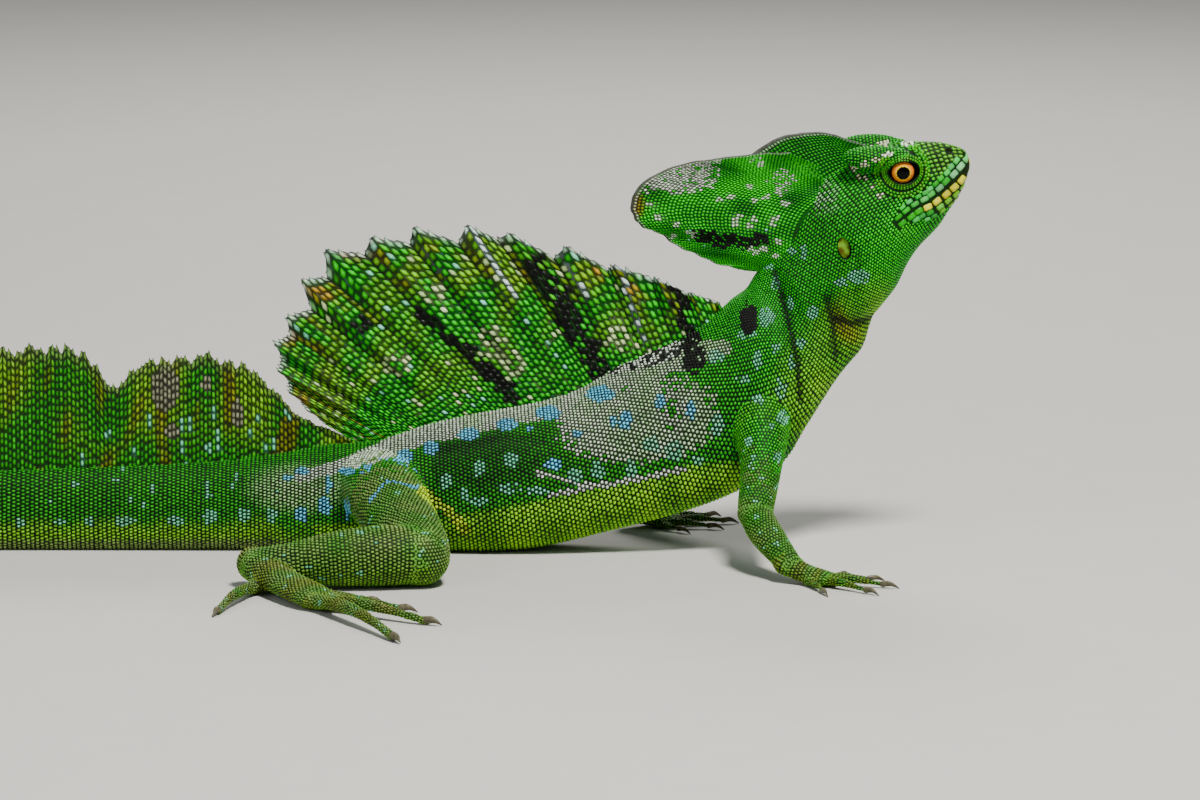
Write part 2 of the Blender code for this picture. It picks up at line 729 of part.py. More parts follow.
def dorsal_sail(skin):
    """The sail along the back, with a toothed edge."""
    made = sheet("sail", lobe_edges(), 5, (2.6, 0.9))
    boolean(made, [grown_trunk(0, TORSO_END + 1), grown_tail(0.3)], "DIFFERENCE")
    cut_away(made, Vector(CREST_PARTING) + Vector(CREST_NORMAL) * GAP / 2, CREST_NORMAL)
    return node(made, "dorsal_sail", skin)


def tail_crest(skin):
    """The crest along the root of the tail, in two lengths, with a toothed edge."""
    along = [row[0] for row in TAIL_CREST_RIM]
    lengths = ((along[0], CREST_SPLIT - GAP / 2, 14), (CREST_SPLIT + GAP / 2, along[-1], 20))
    for n, (low, high, rays) in enumerate(lengths, 1):
        edges = []
        for k in range(2 * rays + 1):
            a = low + (high - low) * k / (2 * rays)
            height = float(np.interp(a, along, [row[1] for row in TAIL_CREST_RIM]))
            depth = row_at(TAIL, max(a, 0.0) / TAIL_LENGTH)[1] - TAIL_SINK
            tooth = (1.0, CREST_TOOTH)[k % 2]
            edges.append(((a, depth - 5.0), (a, depth + height * tooth), RAY_HEIGHT * (k % 2 == 0)))
        made = sheet("crest", edges, 3, (2.4, 0.9), OnTail())
        boolean(made, [grown_trunk(0, 2), grown_tail(0.6)], "DIFFERENCE")
        behind = -Vector(CREST_NORMAL)
        cut_away(made, Vector(CREST_PARTING) + behind * GAP / 2, behind)
        node(made, f"tail_crest_{n}", skin)


def rear_crest(grow=0.0):
    edges = plain_edges(REAR_CREST_ROWS, REAR_CREST_RIM, 0.3, 24)
    return rolled(sheet("rear", edges, 4, (7.0 + 2 * grow, 1.1 + 2 * grow)))


def head_crests(skin):
    """The large lobe behind the head and the small one before it."""
    rear = rear_crest()
    boolean(rear, [grown_trunk(TORSO_END, len(TRUNK) - 1)], "DIFFERENCE")
    node(rear, "head_crest_rear", skin)
    edges = plain_edges(FRONT_CREST_ROWS, FRONT_CREST_RIM, 0.25, 16)
    front = rolled(sheet("front", edges, 4, (3.4, 1.1)))
    brows = [rolled(brow(side, grow=GAP)) for side in (-1, 1)]
    head_grown = grown_trunk(TORSO_END, len(TRUNK) - 1)
    boolean(front, [head_grown, rear_crest(GAP), *brows], "DIFFERENCE")
    node(front, "head_crest_front", skin)


def toe(root, heading, bend, length, thickness):
    """A toe that bends as it goes and lies on the floor, with its claw."""
    steps, lift = 5, thickness * TOE_LIFT
    place, path = Vector(root), []
    place.z = max(place.z, lift)
    for k in range(steps + 1):
        share = k / steps
        angle = math.radians(heading + bend * share)
        thick = thickness * (1 - 0.42 * share)
        knuckle = 1 + 0.08 * math.cos(share * 3 * 2 * math.pi)
        arch = math.sin(share * math.pi) * length * 0.05
        path.append((place.x, place.y, thick * TOE_LIFT + arch, thick * knuckle, thick * knuckle))
        place = place + Vector((math.cos(angle), math.sin(angle), 0.0)) * (length / steps)
    angle = math.radians(heading + bend)
    way = Vector((math.cos(angle), math.sin(angle), 0.0))
    tip = Vector(path[-1][:3])
    thick = path[-1][3]
    claw = [
        (*(tip - way * 1.0 + Vector((0, 0, 0.3))), thick * 0.7, thick * 0.8),
        (*(tip + way * CLAW_LENGTH * 0.5 + Vector((0, 0, 0.5))), thick * 0.42, thick * 0.55),
        (*(tip + way * CLAW_LENGTH + Vector((0, 0, -0.5))), 0.3, 0.3),
    ]
    return [
        tube("toe", path, 6, TOE_SIDES, rounding=(0.8,)), tube("claw", claw, 3, 4, rounding=(0.8,))
    ]


def foot(name, heading, side, sections, toes, limb_path, skin):
    """A foot or hand at the end of its limb: its sole and toes, flat on the floor."""
    turn = math.radians(heading)
    way = Vector((math.cos(turn), math.sin(turn), 0.0))
    out = Vector((-way.y, way.x, 0.0)) * side
    root = Vector((*limb_path[-1][:2], 0.0))
    path = [(*(root + way * a + Vector((0, 0, z))), wide, tall) for a, wide, tall, z in sections]
    pieces = [tube("sole", path, 7, SOLE_SIDES)]
    for along, across, angle, bend, length, thick in toes:
        start = root + way * along + out * across
        pieces += toe(start, heading + side * angle, side * bend, length, thick)
    boolean(pieces[0], pieces[1:], "UNION")
    boolean(pieces[0], [tube("grown", limb_path, LIMB_RINGS, LIMB_SIDES, grow=GAP)], "DIFFERENCE")
    return node(pieces[0], name, skin)


def limb(names, upper, lower, rows, skin):
    """An upper limb cut clear of the trunk, and a lower one cut clear of the upper."""
    high = tube("upper", upper, LIMB_RINGS, LIMB_SIDES)
    boolean(high, [grown_trunk(*rows)], "DIFFERENCE")
    node(high, names[0], skin)
    low = tube("lower", lower, LIMB_RINGS, LIMB_SIDES)
    boolean(low, [tube("grown", upper, LIMB_RINGS, LIMB_SIDES, grow=GAP)], "DIFFERENCE")
    node(low, names[1], skin)


def limbs(skin):
    """Both pairs of legs, with hands and feet."""
    hips, shoulders = (0, TORSO_END), (5, NECK_END)
    limb(("thigh_right", "shank_right"), RIGHT_THIGH, RIGHT_SHANK, hips, skin)
    limb(("thigh_left", "shank_left"), LEFT_THIGH, LEFT_SHANK, hips, skin)
    limb(("upper_arm_right", "forearm_right"), RIGHT_UPPER_ARM, RIGHT_FOREARM, shoulders, skin)
    limb(("upper_arm_left", "forearm_left"), LEFT_UPPER_ARM, LEFT_FOREARM, shoulders, skin)
    hind, fore = (FOOT_SECTIONS, FOOT_TOES), (HAND_SECTIONS, HAND_TOES)
    foot("foot_right", RIGHT_FOOT_HEADING, -1, *hind, RIGHT_SHANK, skin)
    foot("foot_left", LEFT_FOOT_HEADING, 1, *hind, LEFT_SHANK, skin)
    foot("hand_right", RIGHT_HAND_HEADING, -1, *fore, RIGHT_FOREARM, skin)
    foot("hand_left", LEFT_HAND_HEADING, 1, *fore, LEFT_FOREARM, skin)


def main():
    for old in list(bpy.data.objects):
        bpy.data.objects.remove(old)
    skin = material("skin", GREEN, 0.5)
    gold = material("eye", GOLD, 0.1)
    trunk(skin)
    tail(skin)
    head(skin)
    eyes(gold)
    ears(skin)
    head_crests(skin)
    dorsal_sail(skin)
    tail_crest(skin)
    limbs(skin)


main()
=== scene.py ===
"""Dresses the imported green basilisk: one skin, coats of scales, crests, eyes, ears and claws.

Tables and sizes are in millimetres, and those of the forms repeat the solids'. MM turns them into
metres. Markings are placed in the side view.
+X runs towards the head, +Z is up, and the right side, which faces the camera, is -Y.
"""

import math

import bmesh
import bpy
import numpy as np
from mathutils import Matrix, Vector
from mathutils.bvhtree import BVHTree


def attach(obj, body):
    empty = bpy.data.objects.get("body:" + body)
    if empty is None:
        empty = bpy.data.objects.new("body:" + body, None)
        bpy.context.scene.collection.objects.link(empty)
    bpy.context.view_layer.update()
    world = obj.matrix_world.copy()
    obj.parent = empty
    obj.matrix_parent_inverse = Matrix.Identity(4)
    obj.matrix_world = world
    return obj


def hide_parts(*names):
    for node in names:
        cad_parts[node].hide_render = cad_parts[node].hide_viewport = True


bl_info = {
    "name": "Green basilisk",
    "version": (1, 0, 0),
    "blender": (4, 5, 0),
    "location": "View3D > Sidebar > Basilisk",
    "description": "Builds the skin, scales, crests, eyes and claws of a green basilisk",
    "category": "Add Mesh",
}

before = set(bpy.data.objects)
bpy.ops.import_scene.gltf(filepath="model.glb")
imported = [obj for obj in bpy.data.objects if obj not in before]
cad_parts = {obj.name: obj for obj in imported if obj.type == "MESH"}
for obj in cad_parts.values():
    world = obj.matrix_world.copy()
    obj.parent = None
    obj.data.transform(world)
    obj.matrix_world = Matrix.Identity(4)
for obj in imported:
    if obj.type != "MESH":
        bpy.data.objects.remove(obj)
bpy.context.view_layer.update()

MM = 0.001

# The trunk from the root of the tail to the snout, as sections from the back's line down to the
# belly's: x and z on top, x and z below, half the width, and how high the widest place lies.
TRUNK = (
    (-40.0, 33.5, -40.0, -0.7, 10.5, 0.50),
    (-25.0, 35.0, -24.0, -0.9, 12.8, 0.48),
    (-9.4, 40.0, -7.0, -0.9, 14.8, 0.46),
    (6.6, 43.5, 11.0, -0.7, 16.4, 0.45),
    (20.6, 46.0, 27.0, 1.2, 17.2, 0.45),
    (35.0, 50.0, 43.0, 5.0, 17.2, 0.45),
    (47.0, 56.5, 59.0, 9.0, 16.8, 0.45),
    (59.5, 62.0, 75.0, 13.6, 16.2, 0.46),
    (71.0, 68.0, 89.0, 19.4, 15.4, 0.48),
    (79.5, 74.3, 101.0, 27.3, 14.2, 0.50),
    (85.0, 79.6, 108.5, 39.0, 12.8, 0.50),
    (89.2, 82.6, 116.0, 50.5, 11.8, 0.50),
    (91.2, 86.0, 122.8, 60.0, 11.2, 0.50),
    (94.0, 89.6, 126.8, 68.0, 11.8, 0.52),
    (97.5, 94.0, 130.6, 74.4, 12.6, 0.52),
    (103.5, 103.5, 136.4, 82.5, 13.2, 0.50),
    (111.0, 115.0, 139.8, 90.0, 13.0, 0.50),
    (120.0, 123.0, 143.0, 95.0, 12.0, 0.50),
    (128.0, 127.0, 146.2, 98.3, 10.8, 0.52),
    (135.5, 128.8, 149.6, 102.2, 9.4, 0.50),
    (142.2, 129.3, 152.4, 107.0, 7.8, 0.48),
    (148.4, 129.0, 155.4, 111.5, 6.4, 0.47),
    (153.4, 127.9, 157.2, 115.5, 5.2, 0.47),
    (157.0, 126.2, 158.4, 119.2, 3.6, 0.47),
    (158.3, 124.4, 158.8, 121.2, 1.6, 0.47),
)
# How many points go round each ring of the body.
BODY_COLUMNS = 192
# How square the sections are above and below their widest place: 2 is an ellipse.
TOP_POWER = 1.8
BOTTOM_POWER = 2.3
# The head turns about a line through a point, over a stretch of the trunk's rows.
HEAD_AXIS_POINT = (130.0, 0.0, 105.0)
HEAD_PITCH = math.radians(24.5)
HEAD_ROLL = math.radians(10.0)
ROLL_ROWS = (10.0, 13.0)

# The tail: share of its length, depth, half width, and its heading off straight back, in degrees.
TAIL_LENGTH = 560.0
TAIL = (
    (0.00, 34.2, 10.5, 0.0),
    (0.07, 28.5, 8.8, 0.0),
    (0.20, 25.4, 7.6, 0.0),
    (0.34, 21.0, 6.9, 4.0),
    (0.46, 16.6, 6.1, 18.0),
    (0.60, 12.5, 5.0, 30.0),
    (0.75, 8.6, 3.8, 10.0),
    (0.90, 5.2, 2.5, -20.0),
    (1.00, 2.4, 1.2, -30.0),
)
TAIL_SINK = 0.7
TAIL_WIDEST = 0.47
TAIL_STEPS = 140

# The sail's lobes from the rear forwards: the trunk's row under its ray, the ray's tip, and the
# edge's lowest place ahead of it, each x and z.
SAIL_LOBES = (
    (0.85, -42.2, 39.4, -45.6, 42.6),
    (1.05, -47.6, 43.8, -50.4, 47.4),
    (1.28, -53.2, 49.4, -53.6, 53.6),
    (1.55, -56.8, 56.4, -55.4, 60.4),
    (1.85, -57.8, 64.9, -53.0, 67.5),
    (2.20, -53.9, 73.4, -46.3, 75.5),
    (2.85, -49.4, 85.2, -41.3, 85.6),
    (3.40, -41.8, 94.6, -29.6, 93.0),
    (3.95, -27.4, 98.6, -15.4, 96.4),
    (4.65, -14.3, 101.8, -0.4, 96.6),
    (5.30, 2.3, 102.4, 11.7, 97.6),
    (5.85, 15.8, 99.8, 29.4, 91.8),
    (6.45, 33.3, 95.6, 46.3, 88.2),
    (7.10, 47.4, 89.6, 60.4, 85.2),
    (7.90, 61.2, 85.4, 71.0, 80.6),
    (8.60, 71.8, 80.8, 80.2, 78.0),
    (9.40, 81.0, 77.8, 83.0, 77.2),
)
# Each head crest's rows of the trunk, and its rim from the rear forwards, x and z.
REAR_CREST_ROWS = (13.7, 17.0)
REAR_CREST_RIM = (
    (88.5, 88.3), (75.0, 92.6), (62.5, 99.8), (53.6, 106.5), (56.5, 117.0), (75.0, 124.0),
    (102.0, 126.5),
)
FRONT_CREST_ROWS = (15.6, 18.2)
FRONT_CREST_RIM = ((88.0, 124.0), (99.0, 131.0), (112.0, 132.5), (126.0, 128.0))
# The tail crest's height over the tail, by distance from the tail's root.
TAIL_CREST_RIM = (
    (-14.0, -2.0), (-7.0, 1.0), (-0.8, 3.5), (5.7, 7.0), (11.4, 12.0), (18.5, 21.0),
    (22.8, 26.0), (26.3, 30.0), (39.7, 35.0), (58.0, 34.0), (67.0, 27.0), (70.5, 26.5),
    (74.0, 34.5), (82.5, 40.0),
    (97.0, 39.5), (115.0, 40.0), (140.0, 38.0), (170.0, 34.0), (205.0, 26.0), (240.0, 15.0),
    (260.0, 7.0), (276.0, 1.0),
)

# The head's small parts, in the upright head's own frame.
EYE = (136.6, -5.4, 122.0)
EYE_RADIUS = 5.0
LID_RADIUS = 6.4
LID_OPENING = (4.9, 3.6)
LID_OPENING_SHIFT = 0.5
BROW_FROM_EYE = (-8.6, -1.0, 4.1)
BROW_SIZE = (10.8, 4.4, 3.8)
NOSTRIL = (151.8, -2.9, 127.0)
NOSTRIL_RADIUS = 0.85
NOSTRIL_SINK = 0.35
EAR = (118.4, 98.6)
EAR_SIZE = (1.9, 3.4)
EAR_DEPTH = 1.5
EARDRUM_DEPTH = 1.3
EAR_TILT = math.radians(12.0)
# The mouth's line from the snout's tip backwards, x and z.
MOUTH = (
    (160.0, 125.4), (158.2, 122.9), (152.7, 117.7), (146.3, 113.0), (140.5, 110.4), (136.0, 107.3),
    (133.8, 105.7),
)
# Rows of plates along the mouth: their middle's height over its line, half height, how many, and
# how far behind the snout's tip the row starts and ends.
LIP_ROWS = (
    (1.50, 1.25, 10, 1.2, 32.2),
    (3.85, 1.05, 10, 4.2, 29.0),
    (-1.80, 1.55, 10, 0.4, 32.2),
    (-4.65, 1.25, 9, 2.6, 28.0),
    (-6.95, 1.00, 8, 5.0, 24.0),
)
MOUTH_GAP = 0.26
LIP_TAPER = 0.4

# Each limb's path from its root to its end: x, y and z, and half its width across and up.
RIGHT_THIGH = (
    (-26.0, -5.0, 21.0, 12.5, 11.5), (-22.0, -21.0, 19.0, 12.2, 11.5),
    (-17.0, -38.0, 14.5, 11.4, 11.0), (-12.5, -53.0, 10.6, 10.2, 10.2),
    (-11.0, -60.0, 9.3, 9.3, 9.3),
)
RIGHT_SHANK = (
    (-11.0, -60.0, 9.3, 8.6, 8.8), (-22.0, -62.0, 9.8, 9.0, 9.4), (-36.0, -63.5, 9.2, 8.0, 8.6),
    (-50.0, -64.0, 8.0, 5.8, 6.4), (-61.0, -63.0, 7.0, 5.0, 5.4),
)
LEFT_THIGH = (
    (-26.0, 5.0, 21.0, 12.5, 11.5), (-17.0, 20.0, 19.0, 12.2, 11.5),
    (-4.0, 36.0, 14.5, 11.4, 11.0), (8.0, 49.0, 10.6, 10.2, 10.2), (13.0, 54.5, 9.3, 9.3, 9.3),
)
LEFT_SHANK = (
    (13.0, 54.5, 9.3, 8.6, 8.8), (1.0, 57.0, 9.8, 9.0, 9.4), (-14.0, 60.0, 9.2, 8.0, 8.6),
    (-29.0, 63.0, 8.0, 5.8, 6.4), (-39.0, 65.0, 7.0, 5.0, 5.4),
)
RIGHT_UPPER_ARM = (
    (93.0, -5.0, 45.0, 9.5, 9.5), (94.0, -14.5, 39.0, 8.6, 8.2),
    (93.5, -25.0, 30.0, 6.6, 6.4), (92.0, -34.0, 21.0, 5.9, 5.8), (91.5, -37.0, 18.0, 5.6, 5.4),
)
RIGHT_FOREARM = (
    (91.5, -37.0, 18.0, 5.0, 5.0), (94.0, -43.0, 14.0, 5.4, 5.4),
    (98.5, -50.0, 9.0, 4.6, 4.6), (102.0, -55.0, 5.8, 3.8, 3.6),
)
LEFT_UPPER_ARM = (
    (93.0, 5.0, 45.0, 9.5, 9.5), (86.0, 15.0, 39.0, 9.0, 8.6),
    (80.0, 23.0, 32.0, 7.2, 7.0), (73.0, 29.0, 25.0, 5.9, 5.8), (71.0, 30.5, 23.0, 5.6, 5.4),
)
LEFT_FOREARM = (
    (71.0, 30.5, 23.0, 5.0, 5.0), (65.0, 32.0, 17.0, 5.6, 5.6), (58.5, 32.5, 10.5, 5.0, 5.0),
    (54.5, 33.0, 5.8, 4.0, 3.8),
)

# Feet and hands. Sections of the sole: distance from the root, half width, half depth, height.
# Toes: distance along and out from the root, angle, bend, length and thickness.
FOOT_SECTIONS = (
    (-2.0, 5.0, 5.6, 7.2), (8.0, 5.4, 4.6, 5.6), (20.0, 6.4, 3.8, 4.4), (31.0, 7.2, 3.2, 3.6),
    (38.0, 6.4, 2.6, 3.0),
)
FOOT_TOES = (
    (28.0, -5.5, -38.0, -12.0, 16.0, 2.1),
    (33.0, -4.0, -22.0, -26.0, 27.0, 2.3),
    (35.0, -1.5, -8.0, -26.0, 43.0, 2.5),
    (35.0, 2.0, 2.0, 4.0, 55.0, 2.7),
    (8.0, 5.0, 52.0, -4.0, 32.0, 2.4),
)
HAND_SECTIONS = (
    (-2.0, 3.8, 3.8, 5.8), (4.0, 4.4, 3.0, 3.6), (9.0, 5.2, 2.4, 2.6), (12.5, 4.6, 2.0, 2.2),
)
HAND_TOES = (
    (6.0, -4.0, -52.0, -8.0, 10.0, 1.7),
    (9.0, -3.2, -24.0, -6.0, 15.0, 1.8),
    (10.5, -0.8, -4.0, -4.0, 19.0, 1.9),
    (9.5, 2.0, 16.0, 4.0, 19.0, 1.9),
    (7.0, 3.6, 46.0, 6.0, 12.5, 1.7),
)
# A toe's height over the floor, taper, knuckles and arch as shares of its size.
TOE_LIFT = 0.82
TOE_STEPS = 5
TOE_TAPER = 0.42
KNUCKLES = 0.08
TOE_ARCH = 0.05
CLAW_LENGTH = 4.6
# Each foot's name, limb path, heading in degrees, side, sections and toes.
FEET = (
    ("foot_right", RIGHT_SHANK, -57.0, -1, FOOT_SECTIONS, FOOT_TOES),
    ("foot_left", LEFT_SHANK, 24.0, 1, FOOT_SECTIONS, FOOT_TOES),
    ("hand_right", RIGHT_FOREARM, -22.0, -1, HAND_SECTIONS, HAND_TOES),
    ("hand_left", LEFT_FOREARM, 16.0, 1, HAND_SECTIONS, HAND_TOES),
)
LIMBS = (
    ("thigh_right", RIGHT_THIGH), ("shank_right", RIGHT_SHANK),
    ("thigh_left", LEFT_THIGH), ("shank_left", LEFT_SHANK),
    ("upper_arm_right", RIGHT_UPPER_ARM), ("forearm_right", RIGHT_FOREARM),
    ("upper_arm_left", LEFT_UPPER_ARM), ("forearm_left", LEFT_FOREARM),
)

# The body's rows of scales, by key: below 0 the distance behind the trunk, from 0 on the trunk's
# row. How far apart they are along the side, and how many go round.
ROW_SPACING = (
    (-560, 2.6), (-300, 2.2), (-150, 1.6), (-60, 1.35), (0, 1.22), (9, 1.2), (11, 1.05),
    (16, 1.08), (18, 1.2), (20.5, 1.5), (24, 1.6),
)
ROW_COUNT = (
    (-560, 6), (-480, 10), (-380, 18), (-280, 26), (-200, 36), (-120, 50), (-60, 64), (-20, 76),
    (0, 84), (2.5, 96), (10.5, 96), (11, 104), (16, 104), (18, 84), (20.5, 40), (23.8, 12),
)
COUNT_STEP = 4
FEWEST_IN_ROW = 4
# How much wider the scales are on the belly than on the back, and how uneven their places are.
BELLY_WIDENING = 0.32
JITTER = 0.1

# Markings in the side view, x and the height seen from the camera: place and half sizes.
BLUE_SPOTS = (
    (43.9, 48.2, 5.5, 3.2), (27.7, 42.2, 5.0, 2.8), (15.0, 38.6, 4.2, 2.6), (3.0, 35.7, 4.4, 2.6),
    (-8.8, 31.4, 3.6, 2.8), (-16.9, 28.6, 3.4, 2.6), (21.7, 37.4, 1.6, 1.4), (36.8, 35.7, 2.0, 1.4),
    (29.1, 26.2, 3.2, 2.2), (51.6, 39.7, 2.8, 3.8), (47.8, 39.7, 1.2, 2.6), (-34.7, 24.1, 3.6, 1.6),
    (-49.1, 24.1, 2.6, 1.6), (-53.9, 22.2, 2.2, 1.2), (72.0, 43.1, 1.8, 3.6), (62.5, 45.9, 2.0, 2.6),
    (-41.0, 19.9, 1.6, 3.4), (-42.0, 13.2, 2.8, 3.6), (-34.7, 12.6, 1.6, 4.6), (-49.3, 10.6, 2.6, 3.4),
)
TURQUOISE_SPOTS = (
    (36.2, 22.8, 3.4, 3.2), (43.0, 24.4, 2.8, 3.8), (53.4, 25.3, 2.2, 3.8), (15.6, 19.1, 5.4, 2.4),
    (24.4, 18.1, 4.2, 1.8), (6.1, 14.7, 4.6, 1.8), (1.8, 17.2, 2.2, 3.2), (-4.1, 20.9, 2.6, 3.4),
    (6.1, 25.3, 2.2, 3.6), (16.2, 27.6, 2.8, 3.2), (59.6, 32.1, 3.6, 3.6), (66.8, 30.6, 3.4, 4.0),
    (74.0, 27.3, 2.6, 2.2), (80.2, 38.8, 2.8, 4.4), (79.7, 59.8, 3.2, 2.8), (98.4, 82.8, 1.8, 3.2),
    (109.8, 73.2, 2.4, 2.6), (95.5, 71.8, 3.2, 4.0), (89.3, 66.6, 4.0, 2.0), (106.2, 63.9, 2.4, 2.0),
    (98.4, 62.2, 1.8, 2.2), (92.6, 58.9, 1.8, 4.2), (103.1, 57.5, 1.4, 3.2), (88.3, 53.1, 2.8, 1.8),
    (100.0, 49.8, 2.4, 4.6), (92.8, 46.7, 2.4, 2.4), (100.3, 40.7, 2.8, 2.8), (96.9, 38.1, 1.4, 1.0),
    (89.7, 33.4, 2.0, 2.0), (98.4, 28.8, 1.6, 2.4), (91.7, 28.2, 2.2, 1.2), (90.7, 25.6, 1.4, 1.6),
    (89.7, 18.2, 1.4, 1.8), (95.0, 18.2, 1.2, 1.6), (97.8, 19.4, 0.9, 1.8), (103.1, 76.1, 1.2, 3.4),
    (118.4, 82.8, 3.6, 1.8), (124.0, 84.5, 4.4, 3.0), (108.0, 108.5, 1.6, 1.6),
    (100.6, 101.4, 1.6, 2.2), (97.0, 105.8, 1.4, 2.6), (103.4, 92.4, 2.2, 1.6),
    (107.0, 92.2, 1.2, 3.0), (96.0, 88.2, 2.2, 2.2),
    (-57.1, 17.8, 1.0, 1.0), (-58.9, 10.1, 2.4, 2.8), (-67.4, 10.3, 3.0, 2.6), (-78.3, 9.8, 3.4, 2.8),
    (-88.8, 8.6, 3.6, 1.8), (-104.6, 8.6, 4.4, 2.0), (-115.6, 8.4, 2.2, 1.8), (-125.0, 8.4, 2.2, 1.8),
    (-137.0, 8.0, 2.2, 1.8), (-78.6, 16.6, 1.4, 1.6), (-71.0, 19.4, 1.2, 1.4), (-69.7, 22.0, 1.2, 2.0),
    (-78.8, 19.9, 1.4, 1.4), (-95.9, 18.9, 1.2, 2.2), (-102.7, 15.5, 1.2, 1.4), (-98.8, 13.2, 1.0, 1.2),
    (-107.6, 21.5, 1.2, 1.2), (-105.7, 25.1, 1.4, 1.6), (-120.0, 20.0, 1.2, 1.6),
    (-128.0, 14.5, 1.0, 1.2),
)
WHITE_BAND = (
    (-50.0, 22.2), (-37.5, 25.6), (-25.0, 30.0), (-15.6, 34.1), (-4.7, 37.8), (9.4, 41.2),
    (20.6, 43.8), (35.9, 46.9), (54.4, 56.9), (71.9, 60.6), (82.8, 62.4),
)
WHITE_FOLDS = (
    ((24.1, 23.8), (40.6, 19.4), (43.8, 19.7), (56.2, 21.9), (70.3, 25.0)),
    ((28.8, 16.6), (41.2, 19.1)),
)
BELLY_LINE = ((-45.0, 7.0), (-6.2, 8.8), (28.1, 15.0), (56.2, 21.2), (71.9, 25.9), (88.0, 27.0))
DARK_FLANK = (5.0, 27.0, 24.0, 8.5)
NAPE_BLOTCH = (89.7, 71.9, 2.6, 5.4)
SHOULDER_BAR = ((67.8, 78.1), (71.2, 68.1), (72.5, 58.1))
HUMP = ((48.0, 57.0), (57.0, 60.0), (66.0, 62.5))
THIGH_PATCH = ((-10.9, 18.1), (-4.7, 12.5), (1.6, 5.6))
SAIL_BARS = (
    (((23.4, 88.4), (27.0, 83.0), (31.2, 77.5), (37.0, 67.0), (43.8, 55.6)), 3.4),
    (((-10.9, 72.8), (-3.0, 66.0), (3.1, 61.9), (9.5, 55.0), (17.2, 46.2)), 2.2),
    (((-32.6, 70.4), (-30.0, 69.0)), 2.0),
    (((67.8, 80.1), (70.0, 72.0), (72.5, 62.1)), 2.6),
)
CREST_BLOTCH = ((74.0, 97.0), (84.0, 95.6), (93.8, 96.3))
CREST_SPOTS = (
    (-87.1, 38.6), (-84.2, 38.6), (-76.8, 42.7), (-86.9, 31.3), (-78.6, 31.1), (-75.4, 30.8),
    (-76.0, 35.5), (-85.6, 25.6), (-80.9, 25.1), (-97.2, 39.6), (-60.7, 31.9), (-65.6, 35.5),
    (-63.0, 40.2), (-58.3, 32.4), (-53.9, 41.7), (-102.0, 30.0), (-110.0, 36.0), (-118.0, 28.0),
)


def tone(red, green, blue):
    """A colour given from 0 to 255 as it shows on a screen, in linear light."""
    shares = np.array((red, green, blue)) / 255
    return tuple(np.where(shares < 0.04045, shares / 12.92, ((shares + 0.055) / 1.055) ** 2.4))


# The colours of small marks, which the panel doesn't offer.
YELLOW_WHITE = np.array(tone(188, 240, 30))
PALE_GREEN = np.array(tone(128, 186, 104))
LIP_SHEEN = np.array(tone(150, 205, 165))
LIP_YELLOW = np.array(tone(222, 216, 20))
EARDRUM_GREEN = np.array(tone(112, 168, 30))
SAIL_RUST = np.array(tone(168, 96, 30))
SAIL_CREAM = np.array(tone(186, 222, 142))
SAIL_RAY = np.array(tone(196, 228, 222))
SAIL_EDGE = np.array(tone(168, 190, 176))
WORN_GREY = np.array(tone(120, 122, 96))
CREST_SPOT = np.array(tone(190, 238, 180))
# A whitish painted sheen of the rear head crest.
CREST_SHEEN_WHITE = np.array(tone(214, 232, 206))
CREST_EDGE = np.array(tone(190, 200, 176))
FRONT_CREST_EDGE = np.array(tone(200, 205, 190))
CLAW_HORN = np.array(tone(96, 92, 70))


class BasiliskSizes(bpy.types.PropertyGroup):
    """The sizes that a user would change."""

    skin_voxel: bpy.props.FloatProperty(
        name="Skin voxel", description="Grain of the skin's mesh", default=1.08 * MM,
        min=0.5 * MM, max=2 * MM, precision=5, unit="LENGTH",
    )
    coat_depth: bpy.props.FloatProperty(
        name="Coat depth", description="How far the skin lies inside the solids",
        default=0.35 * MM, min=0.0, max=MM, precision=5, unit="LENGTH",
    )
    dome: bpy.props.FloatProperty(
        name="Dome", description="A scale's height as a share of its half width",
        default=0.6, min=0.1, max=1.5, subtype="FACTOR",
    )
    gap: bpy.props.FloatProperty(
        name="Gap", description="Share of a scale's cell left open as the dark gap",
        default=0.17, min=0.0, max=0.5, subtype="FACTOR",
    )
    pleat: bpy.props.FloatProperty(
        name="Pleat", description="How far each lobe of the sail stands out at its ray",
        default=0.7 * MM, min=0.0, max=3 * MM, precision=5, unit="LENGTH",
    )


class BasiliskColours(bpy.types.PropertyGroup):
    """The colours of the living animal."""

    green: bpy.props.FloatVectorProperty(
        name="Green", description="Neck and head", default=tone(3, 156, 0), size=3,
        subtype="COLOR", min=0, max=1,
    )
    deep: bpy.props.FloatVectorProperty(
        name="Deep green", description="Lower flank and tail", default=tone(22, 130, 0), size=3,
        subtype="COLOR", min=0, max=1,
    )
    lime: bpy.props.FloatVectorProperty(
        name="Lime", description="Belly and throat", default=tone(118, 188, 0), size=3,
        subtype="COLOR", min=0, max=1,
    )
    # The back's light band is partly the animal's pale marking and partly a painted sheen.
    pale: bpy.props.FloatVectorProperty(
        name="Pale", description="The back's light band", default=tone(226, 246, 218), size=3,
        subtype="COLOR", min=0, max=1,
    )
    blue: bpy.props.FloatVectorProperty(
        name="Blue", description="Spots on the light band", default=tone(95, 195, 240), size=3,
        subtype="COLOR", min=0, max=1,
    )
    turquoise: bpy.props.FloatVectorProperty(
        name="Turquoise", description="Spots on the green", default=tone(110, 215, 165), size=3,
        subtype="COLOR", min=0, max=1,
    )
    black: bpy.props.FloatVectorProperty(
        name="Black", description="Bars and blotches", default=tone(8, 12, 6), size=3,
        subtype="COLOR", min=0, max=1,
    )
    olive: bpy.props.FloatVectorProperty(
        name="Olive", description="Worn patches", default=tone(120, 108, 0), size=3,
        subtype="COLOR", min=0, max=1,
    )
    drab: bpy.props.FloatVectorProperty(
        name="Drab", description="Legs and the tail's underside", default=tone(110, 138, 66),
        size=3, subtype="COLOR", min=0, max=1,
    )


def sizes():
    return bpy.context.scene.basilisk_sizes


